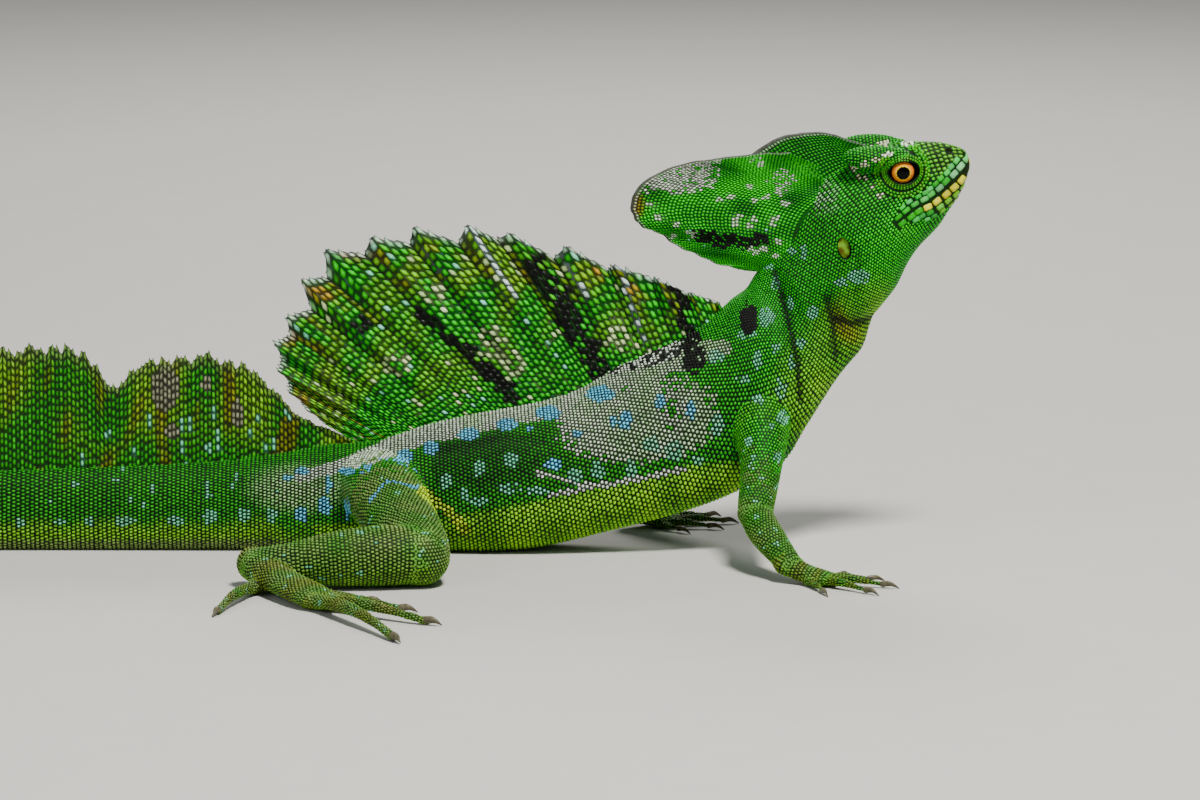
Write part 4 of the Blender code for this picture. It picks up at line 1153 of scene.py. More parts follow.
def coat_body():
    """Scales of the tail, trunk, neck and head."""
    beast, form = animal(), animal().body
    rng = np.random.default_rng(7)
    spacing = table(ROW_SPACING, form.keys)
    counts = np.round(table(ROW_COUNT, form.keys) / COUNT_STEP) * COUNT_STEP
    cells = grid_of(form, spacing, counts)
    cells, rows, turns = scatter(cells, rng)
    key = np.interp(cells[:, 0], np.arange(len(form.keys)), form.keys)
    widening = BELLY_WIDENING * smooth(-60, 0, key) * (1 - smooth(10, 13, key))
    turns = body_warp(turns, widening[:, None])
    centre_turn = body_warp(cells[:, 1], widening)
    centre = form.point(cells[:, 0], centre_turn)
    keep = ~beast.buried(centre, form) & ~on_head_plates(centre, key)
    cells, rows, turns, key = cells[keep], rows[keep], turns[keep], key[keep]
    centre, centre_turn = centre[keep], centre_turn[keep]
    rim = form.point(rows, turns)
    centre, out = beast.cling(centre)
    rim, _ = beast.cling(rim)
    rim = turned_out(centre, rim, out)
    half = np.linalg.norm(rim - centre[:, None], axis=2).mean(axis=1)
    tint = body_tints(centre, key, centre_turn, rng)
    slim = np.where(tint.min(axis=1) > PALE_FROM, PALE_SLIM, 1.0)
    rim = centre[:, None] + (rim - centre[:, None]) * slim[:, None, None]
    place = np.stack([0.02 + 0.96 * cells[:, 0] / len(form.grid), np.mod(centre_turn, 1)], axis=1)
    height = half * sizes().dome * (1 - 0.45 * smooth(9, 11, key))
    slope = -0.12 * np.broadcast_to(np.array(CELL)[:, 0], rim.shape[:2])
    columns = centre, rim, out, height, tint, place, slope
    for name, low, high in BODY_COATS:
        part = (key >= low) & (key < high)
        coat = Coat(name)
        coat.add(*(column[part] for column in columns))
        coat.build()


# Pale scales are smaller, so that wider dark gaps show between them: from what tint, and how much.
PALE_FROM = 0.12
PALE_SLIM = 0.86
# The coats' names and the stretches of the body that they cover, by its keys.
BODY_COATS = (
    ("scales_tail", -600.0, 0.0), ("scales_trunk", 0.0, 10.0), ("scales_neck", 10.0, 14.0),
    ("scales_head", 14.0, 30.0),
)


def upright(points):
    """The head's points turned back to the upright head's frame."""
    return rolled(points, -np.ones(len(points)))


# Nearer the head's middle than this, the coat runs on between the eyes.
BESIDE_EYES = 6.6
# Half sizes of the lids' oval, and the free place's radius round a nostril.
LIDS_SIZE = (8.9, 8.0)
NOSTRIL_FREE = 1.2
# Plates that would reach further than this from their middle are left off.
WIDEST_PLATE = 3.2


def on_head_plates(points, key):
    """Whether the head's own plates stand in a place, so that the coat leaves it free."""
    flat = upright(points)
    x, z = flat[:, 0], flat[:, 2]
    beside = np.abs(flat[:, 1]) > BESIDE_EYES
    wide, tall = LIDS_SIZE
    eye = (np.hypot((x - EYE[0]) / wide, (z - EYE[2]) / tall) < 1) & beside
    ear_x = (x - EAR[0]) * math.cos(EAR_TILT) + (z - EAR[1]) * math.sin(EAR_TILT)
    ear_z = -(x - EAR[0]) * math.sin(EAR_TILT) + (z - EAR[1]) * math.cos(EAR_TILT)
    ear = np.hypot(ear_x / (EAR_SIZE[0] + 0.7), ear_z / (EAR_SIZE[1] + 0.7)) < 1
    nostril = np.hypot(x - NOSTRIL[0], z - NOSTRIL[2]) < NOSTRIL_FREE
    return (eye | ear | under_lips(x, z) | nostril) & (key > 13)


def mouth_line():
    """The mouth's line as close points, and how far each lies behind the snout's tip."""
    points = curve(MOUTH, np.linspace(0, len(MOUTH) - 1, 240))
    gone = np.concatenate([[0], np.cumsum(np.linalg.norm(np.diff(points, axis=0), axis=1))])
    return points, gone


def lip_taper(gone):
    """How tall the lips' plates are behind the snout's tip, as a share of their height there."""
    return 1 - LIP_TAPER * np.asarray(gone) / mouth_line()[1][-1]


def under_lips(x, z):
    """Whether the lips' plates cover a place of the side view."""
    points, gone = mouth_line()
    away = np.hypot(x[:, None] - points[:, 0], z[:, None] - points[:, 1])
    nearest = away.argmin(axis=1)
    back, up = np.gradient(points[:, 0])[nearest], np.gradient(points[:, 1])[nearest]
    arm_x, arm_z = x - points[nearest, 0], z - points[nearest, 1]
    offset = np.sign(arm_x * up - arm_z * back) * away.min(axis=1) / lip_taper(gone[nearest])
    covered = (np.abs(offset) < 2 * MOUTH_GAP) & (gone[nearest] < gone[-1] - 1)
    for middle, half, _, start, end in LIP_ROWS:
        inside = (gone[nearest] > start - 0.2) & (gone[nearest] < end + 0.2)
        covered |= (np.abs(offset - middle) < half + 0.15) & inside
    return covered & (away.min(axis=1) < 10)


def spots_mask(x, height, spots, rng):
    """How far each place lies in one of the spots, with ragged rims."""
    ragged = rng.uniform(0.6, 1.3, len(x))
    found = np.zeros(len(x))
    for spot in spots:
        near = np.abs(x - spot[0]) < 2 * spot[2]
        inside = oval(x[near], height[near], (*spot[:2], 0.8 * spot[2], 0.8 * spot[3]), 0.25)
        found[near] = np.maximum(found[near], inside * ragged[near])
    return found > 0.5


def mix(base, other, mask):
    """One colour laid over another as far as the mask says."""
    mask = np.asarray(mask, float)[:, None]
    return base * (1 - mask) + np.asarray(other) * mask


def body_tints(points, key, turn, rng):
    """The body's colours: greens, the light band, the belly, spots, black marks and painted shade in
    the creases.
    """
    x, height = seen(points)
    patch = mottle(points, 14.0, 3)
    tint = np.tile(colour("green"), (len(points), 1))
    tint = mix(tint, colour("deep"), 1 - smooth(8.5, 10.5, key) + 0 * x)
    tint = mix(tint, colour("green"), 0.55 * smooth(40, 62, x) * (key < 10))
    line = np.interp(x, [p[0] for p in BELLY_LINE], [p[1] for p in BELLY_LINE])
    belly = (1 - smooth(line - 1.5, line + 1.5, height)) * (key >= -6) * (1 - smooth(9.6, 10.6, key))
    tint = mix(tint, colour("lime") * 1.4, belly * (0.75 + 0.25 * patch))
    tint = tail_tints(tint, points, key, patch)
    tint = throat_tints(tint, key, np.mod(turn, 1), x, height, patch)
    hip = oval(x, height, (-50.0, 18.5, 13.0, 6.0), 0.6) * (key > -60) * (key < 3)
    tint = mix(tint, colour("pale") * (0.8, 0.95, 0.6), 0.6 * hip * rng.uniform(0.4, 1.0, len(x)))
    light = light_band(x, height, key) + 0.12 * patch
    chosen = (light > rng.uniform(0.25, 0.75, len(x))) & (belly < 0.5)
    cast = 0.25 + 0.4 * smooth(20, 60, x) + 0.25 * patch + rng.normal(0, 0.12, len(x))
    pale = mix(np.tile(colour("pale"), (len(x), 1)), PALE_GREEN, np.clip(cast, 0, 0.8))
    tint = np.where(chosen[:, None], pale * rng.uniform(0.7, 1.15, (len(x), 1)), tint)
    dark = oval(x, height, DARK_FLANK) * (key > 2) * (key < 9) * (light < 0.2) * (belly < 0.5)
    tint = tint * (1 - 0.5 * dark)[:, None]
    yellow = (distance_to(THIGH_PATCH, x, height) < 1.8 + patch) & (key > -20) & (key < 3)
    tint = np.where(yellow[:, None], YELLOW_WHITE * rng.uniform(0.25, 1.4, (len(x), 1)), tint)
    for fold in WHITE_FOLDS:
        on_fold = (distance_to(fold, x, height) < 0.9) & (key > 0) & (key < 9.5)
        tint = np.where(on_fold[:, None], colour("pale") * 1.05, tint)
    blue = spots_mask(x, height, BLUE_SPOTS, rng) & (key > -30)
    tint = np.where(blue[:, None], colour("blue") * rng.uniform(0.75, 1.1, (len(x), 1)), tint)
    teal = spots_mask(x, height, TURQUOISE_SPOTS, rng) & (rng.uniform(0, 1, len(x)) < 0.93)
    tealed = mix(tint, colour("turquoise"), rng.uniform(0.55, 1.0, len(x)))
    tint = np.where(teal[:, None], tealed, tint)
    tint = black_marks(tint, x, height, key, patch, rng)
    # Painted shade darkens the scales along each crease of the folds.
    for path, width, depth in FOLDS:
        if depth < 0:
            crease_shade = np.exp(-((distance_to(path, x, height) / width) ** 2)) * (key > 0)
            tint = tint * (1 - 0.93 * np.minimum(-depth, 1) * crease_shade)[:, None]
    tint = head_tints(tint, points, key, patch, rng)
    return tint * rng.uniform(0.66, 1.3, (len(x), 1)) * (1 + 0.15 * patch[:, None])


def light_band(x, height, key):
    """How strongly the back's light band shows, from 0 to 1: partly the animal's pale marking and
    partly a painted sheen.
    """
    away = distance_to(WHITE_BAND, x, height)
    width = np.interp(x, (-50, -30, 0, 40, 70, 85), (1.6, 2.4, 4.4, 5.0, 4.6, 2.0))
    band = 1 - smooth(width * 0.75, width * 1.25, away)
    flank = oval(x, height, (54.0, 41.0, 27.0, 15.5), 0.3) * smooth(22, 30, x)
    return np.maximum(band, flank * 0.78) * (key > -60) * (key < 9.8)


def tail_tints(tint, points, key, patch):
    """The tail's green sides, its yellow-green lower band and its drab underside."""
    tail = 1 - smooth(-25, 0, key)
    along = np.clip(-key, 0, TAIL_LENGTH)
    depth = curve_by_first(TAIL, along / TAIL_LENGTH)[:, 1]
    share = np.clip(points[:, 2] / np.maximum(depth, 1), 0, 1)
    lower = tail * (1 - smooth(0.2, 0.42, share + 0.06 * patch))
    tint = mix(tint, colour("lime") * 0.95, 0.85 * lower)
    tint = mix(tint, colour("drab") * 1.1, tail * (1 - smooth(0.08, 0.2, share)))
    ringed = smooth(150, 260, along) * (0.5 + 0.5 * np.sin(along / 9.0)) * 0.5
    return mix(tint, colour("olive") * 0.6, tail * ringed)


def throat_tints(tint, key, turn, x, height, patch):
    """Yellow-green and olive on the throat and the chest."""
    front = 1 - smooth(0.1, 0.3, np.abs(turn - 0.5) + 0.04 * patch)
    throat = front * smooth(9, 10, key) * (1 - smooth(13.5, 15.5, key))
    tint = mix(tint, colour("lime") * 1.35, throat * (0.6 + 0.3 * patch))
    stain = oval(x, height, (119.0, 66.0, 6.5, 9.0), 0.6) * smooth(-0.3, 0.5, patch)
    return mix(tint, colour("olive"), stain * 0.8)


def black_marks(tint, x, height, key, patch, rng):
    """The nape's blotch, the shoulder's bar and the worn black and pale hump before the sail."""
    blotch = oval(x, height, NAPE_BLOTCH, 0.5)
    ragged = 0.35 * mottle(np.stack([x, height, 0 * x], axis=1), 4.0, 91)
    nape = (blotch > 0.05) & (blotch + ragged > rng.uniform(0.3, 0.7, len(x)))
    bar = distance_to(SHOULDER_BAR, x, height) < 3.4 + 0.8 * patch
    bar = bar & (rng.uniform(0, 1, len(x)) < 0.8)
    grey = (distance_to(HUMP, x, height) < 3.6 + patch) & (key < 9)
    worn = np.where(rng.uniform(0, 1, (len(x), 1)) < 0.42, colour("black"), colour("pale") * 1.1)
    tint = np.where(grey[:, None], worn, tint)
    return np.where(((nape | bar) & (key < 14) & (key > 5))[:, None], colour("black"), tint)


def head_tints(tint, points, key, patch, rng):
    """The head's brighter cheek, a painted grey-green sheen on the snout, a painted pale sheen on the
    temple and pale marks round the eye.
    """
    flat = upright(points)
    x, z = flat[:, 0], flat[:, 2]
    head = smooth(13, 15, key)
    jaw = head * smooth(0.0, 6.0, 100.0 + 0.62 * (x - 118.0) + 4.0 - z) * smooth(116.0, 122.0, x)
    tint = tint * (1 + 0.75 * jaw)[:, None]
    # Painted sheen: grey-green over the top of the snout.
    snout = head * smooth(141, 150, x + 0.6 * (z - 122))
    tint = mix(tint, colour("drab") * (0.8, 1.3, 0.3), 0.6 * snout)
    tint = mix(tint, colour("lime") * 0.7, 0.12 * head * smooth(0, 1, patch) * smooth(118, 130, x))
    # Painted sheen: a soft pale patch over the temple's rows.
    temple = head * oval(x, z, (104.0, 114.0, 11.0, 5.5), 0.5) * (rng.uniform(0, 1, len(x)) < 0.6)
    tint = mix(tint, colour("pale"), 0.35 * temple)
    for mark in PALE_MARKS:
        marked = (oval(x, z, mark, 0.15) > 0.5) * head
        tint = mix(tint, colour("pale") * (1.0, 1.0, 0.66), marked)
    return tint


# Cream marks behind and over the eye, in the upright head's side view.
PALE_MARKS = (
    (127.8, 126.4, 1.6, 0.8), (124.6, 125.0, 1.3, 1.1), (121.6, 122.4, 1.2, 1.6),
    (125.0, 119.5, 1.0, 0.9), (127.4, 117.6, 0.9, 0.9), (129.5, 115.0, 1.0, 0.9),
    (131.6, 127.9, 1.8, 0.6), (138.8, 128.9, 2.4, 0.55), (122.8, 119.8, 0.8, 0.8),
)


def coat_limbs():
    """Scales of the limbs, soles and toes."""
    beast, rng = animal(), np.random.default_rng(11)
    hind = Coat("scales_hind_limbs")
    fore = Coat("scales_fore_limbs")
    for form in [*beast.limbs, *beast.feet, *beast.brows]:
        coat = hind if form.name.startswith(("thigh", "shank", "foot")) else fore
        step = limb_step(form.name)
        girth = form.girth()
        counts = np.round(girth / step / 2) * 2
        cells = grid_of(form, np.full(len(form.grid), step), counts)
        cells = cells[girth[cells[:, 0].astype(int)] > LEAST_GIRTH]
        cells, rows, turns = scatter(cells, rng)
        if form in beast.limbs:
            cells, rows, turns = with_caps(form, step, cells, rows, turns)
        centre = form.point(cells[:, 0], cells[:, 1])
        keep = ~beast.buried(centre, form, 0.4) & (centre[:, 2] > 0.1)
        rim = form.point(rows[keep], turns[keep])
        centre, out = beast.cling(centre[keep])
        rim, _ = beast.cling(rim)
        rim = turned_out(centre, rim, out)
        half = np.linalg.norm(rim - centre[:, None], axis=2).mean(axis=1)
        if form in beast.brows:
            whole = np.ones(len(centre))
            tint = body_tints(centre, 18.0 * whole, 0.1 * whole, rng)
        else:
            tint = limb_tints(form, centre, cells[keep], rng)
        index = [f.name for f in beast.forms].index(form.name)
        place = np.stack([cells[keep, 0] / len(form.grid), np.mod(cells[keep, 1], 1)], axis=1)
        place = place * 0.16 + np.array((index % 6, index // 6)) / 6 + 0.003
        coat.add(centre, rim, out, half * sizes().dome, tint, place)
    hind.build()
    fore.build()


def with_caps(form, step, cells, rows, turns):
    """Puts a flat staggered pattern of scales on a limb's round ends in place of its rings."""
    ring_middles = form.grid.mean(axis=1)
    last = len(form.grid) - 1
    for pole, way in ((0, 1), (last, -1)):
        order = np.arange(pole, pole + 12 * way, way)
        tip = ring_middles[pole]
        steps = np.linalg.norm(np.diff(form.grid[order], axis=0), axis=2).mean(axis=1)
        start = np.linalg.norm(form.grid[pole] - tip, axis=1).mean()
        gone = start + np.concatenate([[0], np.cumsum(steps)])
        radius = np.linalg.norm(form.grid[order[8]] - ring_middles[order[8]], axis=1).mean()
        reach = CAP_REACH * radius
        edge = np.interp(reach, gone, order)
        keep = (cells[:, 0] - edge) * way > 0
        count = int(reach / step) + 2
        n, k = (v.ravel() for v in np.meshgrid(np.arange(-count, count), np.arange(-count, count)))
        flat = np.stack([(n + 0.5 * (k % 2)) * step, k * step], axis=1)
        flat = flat[np.hypot(*flat.T) < reach + 0.3 * step]
        corners = flat[:, None] + np.array(CELL)[:, ::-1] * step / 2 * (1 - sizes().gap)
        row, turn = cap_place(flat, gone, order)
        corner_rows, corner_turns = cap_place(corners, gone, order)
        cells = np.concatenate([cells[keep], cells_of(row, np.mod(turn, 1), 0.0, 0.0)])
        rows = np.concatenate([rows[keep], corner_rows])
        turns = np.concatenate([turns[keep], corner_turns])
    return cells, rows, turns


def cap_place(places, gone, order):
    """A limb's row and turn under a place of the flat pattern on its end."""
    away = np.hypot(places[..., 0], places[..., 1])
    turn = np.arctan2(places[..., 0], places[..., 1]) / (2 * math.pi)
    return np.interp(away, gone, order), turn


def limb_step(name):
    """How far apart the scales are on a limb or a brow."""
    return 1.2 if name.startswith(("thigh", "shank")) or "sole" in name else 1.08


def limb_tints(form, points, cells, rng):
    """Drab green legs with pale turquoise spots, yellow-green below, and banded toes."""
    patch = mottle(points, 9.0, 5)
    share = cells[:, 0] / len(form.grid)
    drab, deep = colour("drab"), colour("deep")
    fore = form.name.startswith(("upper_arm", "forearm", "hand"))
    base = mix(np.tile(drab, (len(points), 1)), deep, (0.65 if fore else 0.35) + 0.3 * patch)
    under = 1 - smooth(0.1, 0.35, np.abs(np.mod(cells[:, 1], 1) - 0.5))
    base = mix(base, colour("lime") * 0.8, 0.6 * under)
    spots = mottle(points, 3.6, 17) > 0.98
    base = np.where(spots[:, None], mix(base, colour("turquoise"), 0.7 * np.ones(len(points))), base)
    if form.name.startswith("thigh"):
        top = np.abs(np.mod(cells[:, 1] + 0.5, 1) - 0.5) < 0.16
        bars = (np.sin(share * 34.0 + 2.0 * patch) > 0.78) & (share < 0.5) & top
        base = np.where(bars[:, None], colour("blue") * 0.8, base)
        x, height = seen(points)
        yellow = distance_to(THIGH_PATCH, x, height) < 1.6 + patch
        base = np.where(yellow[:, None], YELLOW_WHITE * rng.uniform(0.25, 1.4, (len(x), 1)), base)
    if "toe" in form.name or "sole" in form.name:
        band = 0.5 + 0.5 * np.sin(share * 22.0)
        base = mix(base, colour("olive") * 0.8, 0.5 * band)
    if form.name.startswith(("upper_arm", "thigh")):
        whole = np.ones(len(points))
        near_body = body_tints(points, (10.7 if fore else -5.0) * whole, 0.25 * whole, rng)
        reach = (0.35, 0.75) if fore else (0.1, 0.4)
        base = mix(base, near_body, rng.uniform(0, 1, len(points)) > smooth(*reach, share))
    return base * rng.uniform(0.7, 1.25, (len(points), 1))


class BASILISK_OT_skin(bpy.types.Operator):
    """Makes the skin that lies under the scales, from all forms of flesh in one piece"""

    bl_idname = "basilisk.skin"
    bl_label = "Skin"

    def execute(self, context):
        beast = animal()
        skin = self.joined(beast)
        apply(skin, "REMESH", mode="VOXEL", voxel_size=sizes().skin_voxel, use_smooth_shade=True)
        apply(skin, "SMOOTH", factor=0.5, iterations=3)
        self.sink(skin, sizes().coat_depth)
        self.hollow(skin)
        skin.data.materials.append(material("hide"))
        skin.data.shade_smooth()
        self.find_places(beast, skin)
        self.paint(beast, skin)
        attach(skin, "root")
        flesh = ("head", "neck", "torso", "tail_", "thigh", "shank", "foot", "upper", "fore", "hand")
        nodes = [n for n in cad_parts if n.startswith(flesh) and "crest" not in n]
        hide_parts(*nodes)
        return {"FINISHED"}

    def joined(self, beast):
        points, faces = [], []
        shells = [form.shell((1, 2)) for form in beast.forms]
        shells += [form.shell() for form in lid_forms()]
        for part, part_faces in shells:
            start = len(points)
            points.extend(part)
            faces.extend(tuple(k + start for k in face) for face in part_faces)
        skin = mesh_object("skin", points, faces, material("hide"))
        face_outwards(skin)
        skin.data.materials.clear()
        return skin

    def sink(self, skin, depth):
        """Moves the skin in by the coat's depth, and lays what would pass the floor on it."""
        points = mesh_points(skin) - mesh_normals(skin) * depth
        points[:, 2] = np.maximum(points[:, 2], LOWEST * MM)
        set_points(skin, points)

    def hollow(self, skin):
        """Cuts the eyes' openings, the nostrils and the ears' hollows."""
        cutters = []
        for side in (-1, 1):
            for cutter_of in (eye_cutter, opening_cutter, nostril_cutter, ear_cutter):
                cutters.append(cutter_of(side))
        group = bpy.data.collections.new("cutters")
        bpy.context.scene.collection.children.link(group)
        for cutter in cutters:
            for home in list(cutter.users_collection):
                home.objects.unlink(cutter)
            group.objects.link(cutter)
        apply(
            skin, "BOOLEAN", operation="DIFFERENCE", operand_type="COLLECTION", collection=group,
            solver="EXACT",
        )
        for cutter in cutters:
            bpy.data.objects.remove(cutter)
        bpy.data.collections.remove(group)

    def find_places(self, beast, skin):
        """Keeps the skin's surface, so that scales and plates can be set on it."""
        mesh = skin.data
        mesh.calc_loop_triangles()
        points, normals = mesh_points(skin) / MM, mesh_normals(skin)
        corners = np.empty(len(mesh.loop_triangles) * 3, np.int32)
        mesh.loop_triangles.foreach_get("vertices", corners)
        corners = corners.reshape(-1, 3)
        beast.skin_tree = BVHTree.FromPolygons(points.tolist(), corners.tolist())
        beast.skin_normals = unit(normals[corners].mean(axis=1))
        beast.skin_points = points

    def paint(self, beast, skin):
        """The coat's own markings, darkened as painted shade, for what shows in the gaps between the
        scales.
        """
        points, form, tree = beast.skin_points, beast.body, beast.trees["body"]
        every = shell_steps(form)
        columns = form.grid[:, :: every[1]].shape[1]
        faces = np.array([tree.find_nearest(p)[2] for p in points])
        row = np.minimum(faces // columns * every[0], len(form.keys) - 1)
        turn = faces % columns / columns
        tint = body_tints(points.astype(float), form.keys[row], turn, np.random.default_rng(5))
        set_tint(skin, np.clip(tint * SKIN_PAINTED_SHADE, 0, 1))


# How much of the scales' tint the skin and the membranes show between them: the rest is painted shade
# in the gaps.
SKIN_PAINTED_SHADE = 0.04
MEMBRANE_PAINTED_SHADE = 0.12


def on_side(point, side):
    """A place of the head's right side, on the side that is asked for."""
    return np.array((point[0], point[1] * -side, point[2]))


def lump(name, centre, size):
    """An ellipsoid on the head, with its rings set along it."""
    lean = np.linspace(0.08, math.pi - 0.08, 40)
    turn = 2 * math.pi * np.arange(48) / 48
    ring = np.stack([0 * turn, np.sin(turn), np.cos(turn)], axis=1)
    rings = [centre + size * (ring * math.sin(a) - np.array((math.cos(a), 0, 0))) for a in lean]
    return Form(name, rolled(np.array(rings)))


def brow_forms():
    forms = []
    for side, name in ((-1, "brow_right"), (1, "brow_left")):
        centre = on_side(EYE, side) + on_side(BROW_FROM_EYE, side)
        forms.append(lump(name, centre, np.array(BROW_SIZE)))
    return forms


def lid_forms():
    return [lump("lid", on_side(EYE, side), np.full(3, LID_RADIUS)) for side in (-1, 1)]


def as_rolled(piece):
    """Turns a piece that was set beside the upright head with the head, and rests its object."""
    select_only(piece)
    bpy.ops.object.transform_apply(location=True, rotation=True, scale=True)
    points = mesh_points(piece)
    set_points(piece, rolled(points / MM, np.ones(len(points))) * MM)
    return piece


def mirrored(point, side):
    return Vector(on_side(point, side)) * MM


def add_ball(centre, radius, segments=32, rings=16):
    bpy.ops.mesh.primitive_uv_sphere_add(
        segments=segments, ring_count=rings, radius=radius * MM, location=centre
    )
    return bpy.context.object


def add_oval_bar(centre, half_sizes, reach, tilt=0.0):
    """An oval bar along y from the first reach to the second."""
    place = Vector((centre[0], (reach[0] + reach[1]) / 2, centre[1])) * MM
    bpy.ops.mesh.primitive_cylinder_add(
        vertices=40, radius=MM, depth=abs(reach[1] - reach[0]) * MM, location=place,
        rotation=(math.pi / 2, -tilt, 0.0),
    )
    bar = bpy.context.object
    bar.scale = (half_sizes[0], half_sizes[1], 1.0)
    return bar


def eye_cutter(side):
    return as_rolled(add_ball(mirrored(EYE, side), EYE_RADIUS + 0.15))


def opening_cutter(side):
    reach = (side * abs(EYE[1]), side * 30.0)
    return as_rolled(add_oval_bar((EYE[0] + LID_OPENING_SHIFT, EYE[2]), LID_OPENING, reach))


def nostril_cutter(side):
    found, out = animal_surface(on_side(NOSTRIL, side))
    ball = add_ball(Vector(found - out * NOSTRIL_SINK) * MM, NOSTRIL_RADIUS, 16, 8)
    bpy.ops.object.transform_apply(location=True, rotation=True, scale=True)
    return ball


def animal_surface(place):
    """The nearest place of the body's form to one beside the upright head, and its way out."""
    point, form = rolled(place), animal().body
    found, _, face, _ = animal().trees["body"].find_nearest(point)
    row, turn = Animal.cell_of(form, face)
    return np.array(found), form.normals[row, turn]


def ear_middle(side):
    """Where the ear lies on the head: the skin's place over it."""
    point = rolled(np.array((EAR[0], side * FAR_OUT, EAR[1])))
    way = rolled(np.array((EAR[0], side * (FAR_OUT - 1.0), EAR[1]))) - point
    found, _, _, _ = animal().trees["body"].ray_cast(Vector(point), Vector(way))
    return upright(np.array(found)[None])[0]


def ear_cutter(side):
    y = ear_middle(side)[1]
    half = (EAR_SIZE[0] + 0.2, EAR_SIZE[1] + 0.2)
    return as_rolled(add_oval_bar(EAR, half, (y - side * EAR_DEPTH, side * 30.0), EAR_TILT))


class BASILISK_OT_coat(bpy.types.Operator):
    """Covers the tail, trunk, neck, head and limbs with scales in rows"""

    bl_idname = "basilisk.coat"
    bl_label = "Scales"

    def execute(self, context):
        coat_body()
        coat_limbs()
        return {"FINISHED"}


def side_cells(coat, x, z, half_x, half_z, lean, side, height, tint, power=0.7):
    """Adds plates of eight corners set on the head's side view: the lower the power, the squarer."""
    turn = 2 * math.pi * np.arange(8) / 8 + math.pi / 8
    cx = np.sign(np.cos(turn)) * np.abs(np.cos(turn)) ** power
    cz = np.sign(np.sin(turn)) * np.abs(np.sin(turn)) ** power
    x, z, lean = (np.asarray(v, float) for v in (x, z, lean))
    along = np.outer(half_x * np.ones_like(x), cx)
    up = np.outer(half_z * np.ones_like(x), cz)
    rim_x = x[:, None] + along * np.cos(lean)[:, None] - up * np.sin(lean)[:, None]
    rim_z = z[:, None] + along * np.sin(lean)[:, None] + up * np.cos(lean)[:, None]
    centre, out = animal().from_side(x, z, side)
    rim, _ = animal().from_side(rim_x, rim_z, side)
    rim = turned_out(centre, rim, out)
    place = np.stack([(x - 90) / 80, (z - 80) / 120 + (0.5 if side > 0 else 0.0)], axis=1)
    whole = np.linalg.norm(rim - centre[:, None], axis=2).max(axis=1) < WIDEST_PLATE
    coat.add(centre[whole], rim[whole], out[whole], height, tint[whole], place[whole])


def mouth_cells(count, start, end):
    """Places of plates along the mouth's line, the way forwards there and the taper."""
    points, gone = mouth_line()
    middles = start + (np.arange(count) + 0.5) / count * (end - start)
    place = np.stack([np.interp(middles, gone, points[:, k]) for k in (0, 1)], axis=1)
    behind = np.stack([np.interp(middles + 0.5, gone, points[:, k]) for k in (0, 1)], axis=1)
    return place, unit(place - behind), lip_taper(middles)


class BASILISK_OT_head_plates(bpy.types.Operator):
    """Sets the lip plates, the rings of scales round the eyes and those round the ears"""

    bl_idname = "basilisk.head_plates"
    bl_label = "Head plates"

    def execute(self, context):
        coat = Coat("head_plates", PLATE, "plates")
        rng = np.random.default_rng(23)
        for side in (-1, 1):
            self.lips(coat, side, rng)
            self.lids(coat, side, rng)
            self.ear_rim(coat, side, rng)
        coat.build()
        return {"FINISHED"}

    def lips(self, coat, side, rng):
        for middle, half, count, start, end in LIP_ROWS:
            place, way, taper = mouth_cells(count, start, end)
            off = np.stack([-way[:, 1], way[:, 0]], axis=1)
            gap = math.copysign(MOUTH_GAP, middle)
            x, z = (place + off * (middle * taper + gap)[:, None]).T
            x = x + rng.normal(0, 0.12, count)
            lean = np.arctan2(way[:, 1], way[:, 0]) + rng.normal(0, 0.05, count)
            long = (end - start) / count / 2 * 0.96
            tint = self.lip_tints(x, middle, rng)
            side_cells(coat, x, z, long, half * taper * 0.96, lean, side, 0.3, tint, 0.42)

    def lip_tints(self, x, middle, rng):
        """Green plates with a pale sheen, cream along the front of the lower lip."""
        tint = np.tile(colour("green") * 1.25, (len(x), 1))
        if middle == LIP_ROWS[2][0]:
            tint = mix(tint, LIP_YELLOW, smooth(141.5, 144.5, x))
        elif middle == LIP_ROWS[0][0]:
            tint = mix(tint, LIP_SHEEN, smooth(136, 150, x) * rng.uniform(0.05, 0.55, len(x)))
        else:
            tint = mix(tint, LIP_SHEEN * (0.4, 1.0, 0.6), rng.uniform(0.0, 0.45, len(x)))
            tint = mix(tint, colour("lime"), 0.8 * smooth(146.0, 151.0, x) * (middle < 0))
        return tint * rng.uniform(0.65, 1.3, (len(x), 1))

    def lids(self, coat, side, rng):
        for wide, tall, count, half, height, shade in LID_RINGS:
            turn = 2 * math.pi * (np.arange(count) + 0.5 * (len(coat.parts) % 2)) / count
            x, z = EYE[0] + wide * np.cos(turn), EYE[2] + tall * np.sin(turn)
            lean = np.arctan2(tall * np.cos(turn), -wide * np.sin(turn))
            length = math.pi * (wide + tall) / 2 / count * 0.9
            tint = colour("green") * shade * rng.uniform(0.75, 1.2, (count, 1))
            tint = mix(tint, colour("lime") * 0.8, rng.uniform(0, 0.5, count) * np.ones(count))
            for mark in PALE_MARKS:
                tint = mix(tint, colour("pale"), oval(x, z, mark, 0.15) > 0.5)
            side_cells(coat, x, z, length, half, lean, side, height, tint)

    def ear_rim(self, coat, side, rng):
        count = 22
        turn = 2 * math.pi * np.arange(count) / count
        wide, tall = EAR_SIZE[0] + 0.55, EAR_SIZE[1] + 0.55
        flat_x, flat_z = wide * np.cos(turn), tall * np.sin(turn)
        x = EAR[0] + flat_x * math.cos(EAR_TILT) - flat_z * math.sin(EAR_TILT)
        z = EAR[1] + flat_x * math.sin(EAR_TILT) + flat_z * math.cos(EAR_TILT)
        lean = np.arctan2(tall * np.cos(turn), -wide * np.sin(turn)) + EAR_TILT
        tint = colour("green") * rng.uniform(0.5, 0.9, (count, 1))
        side_cells(coat, x, z, 0.4, 0.32, lean, side, 0.35, tint)


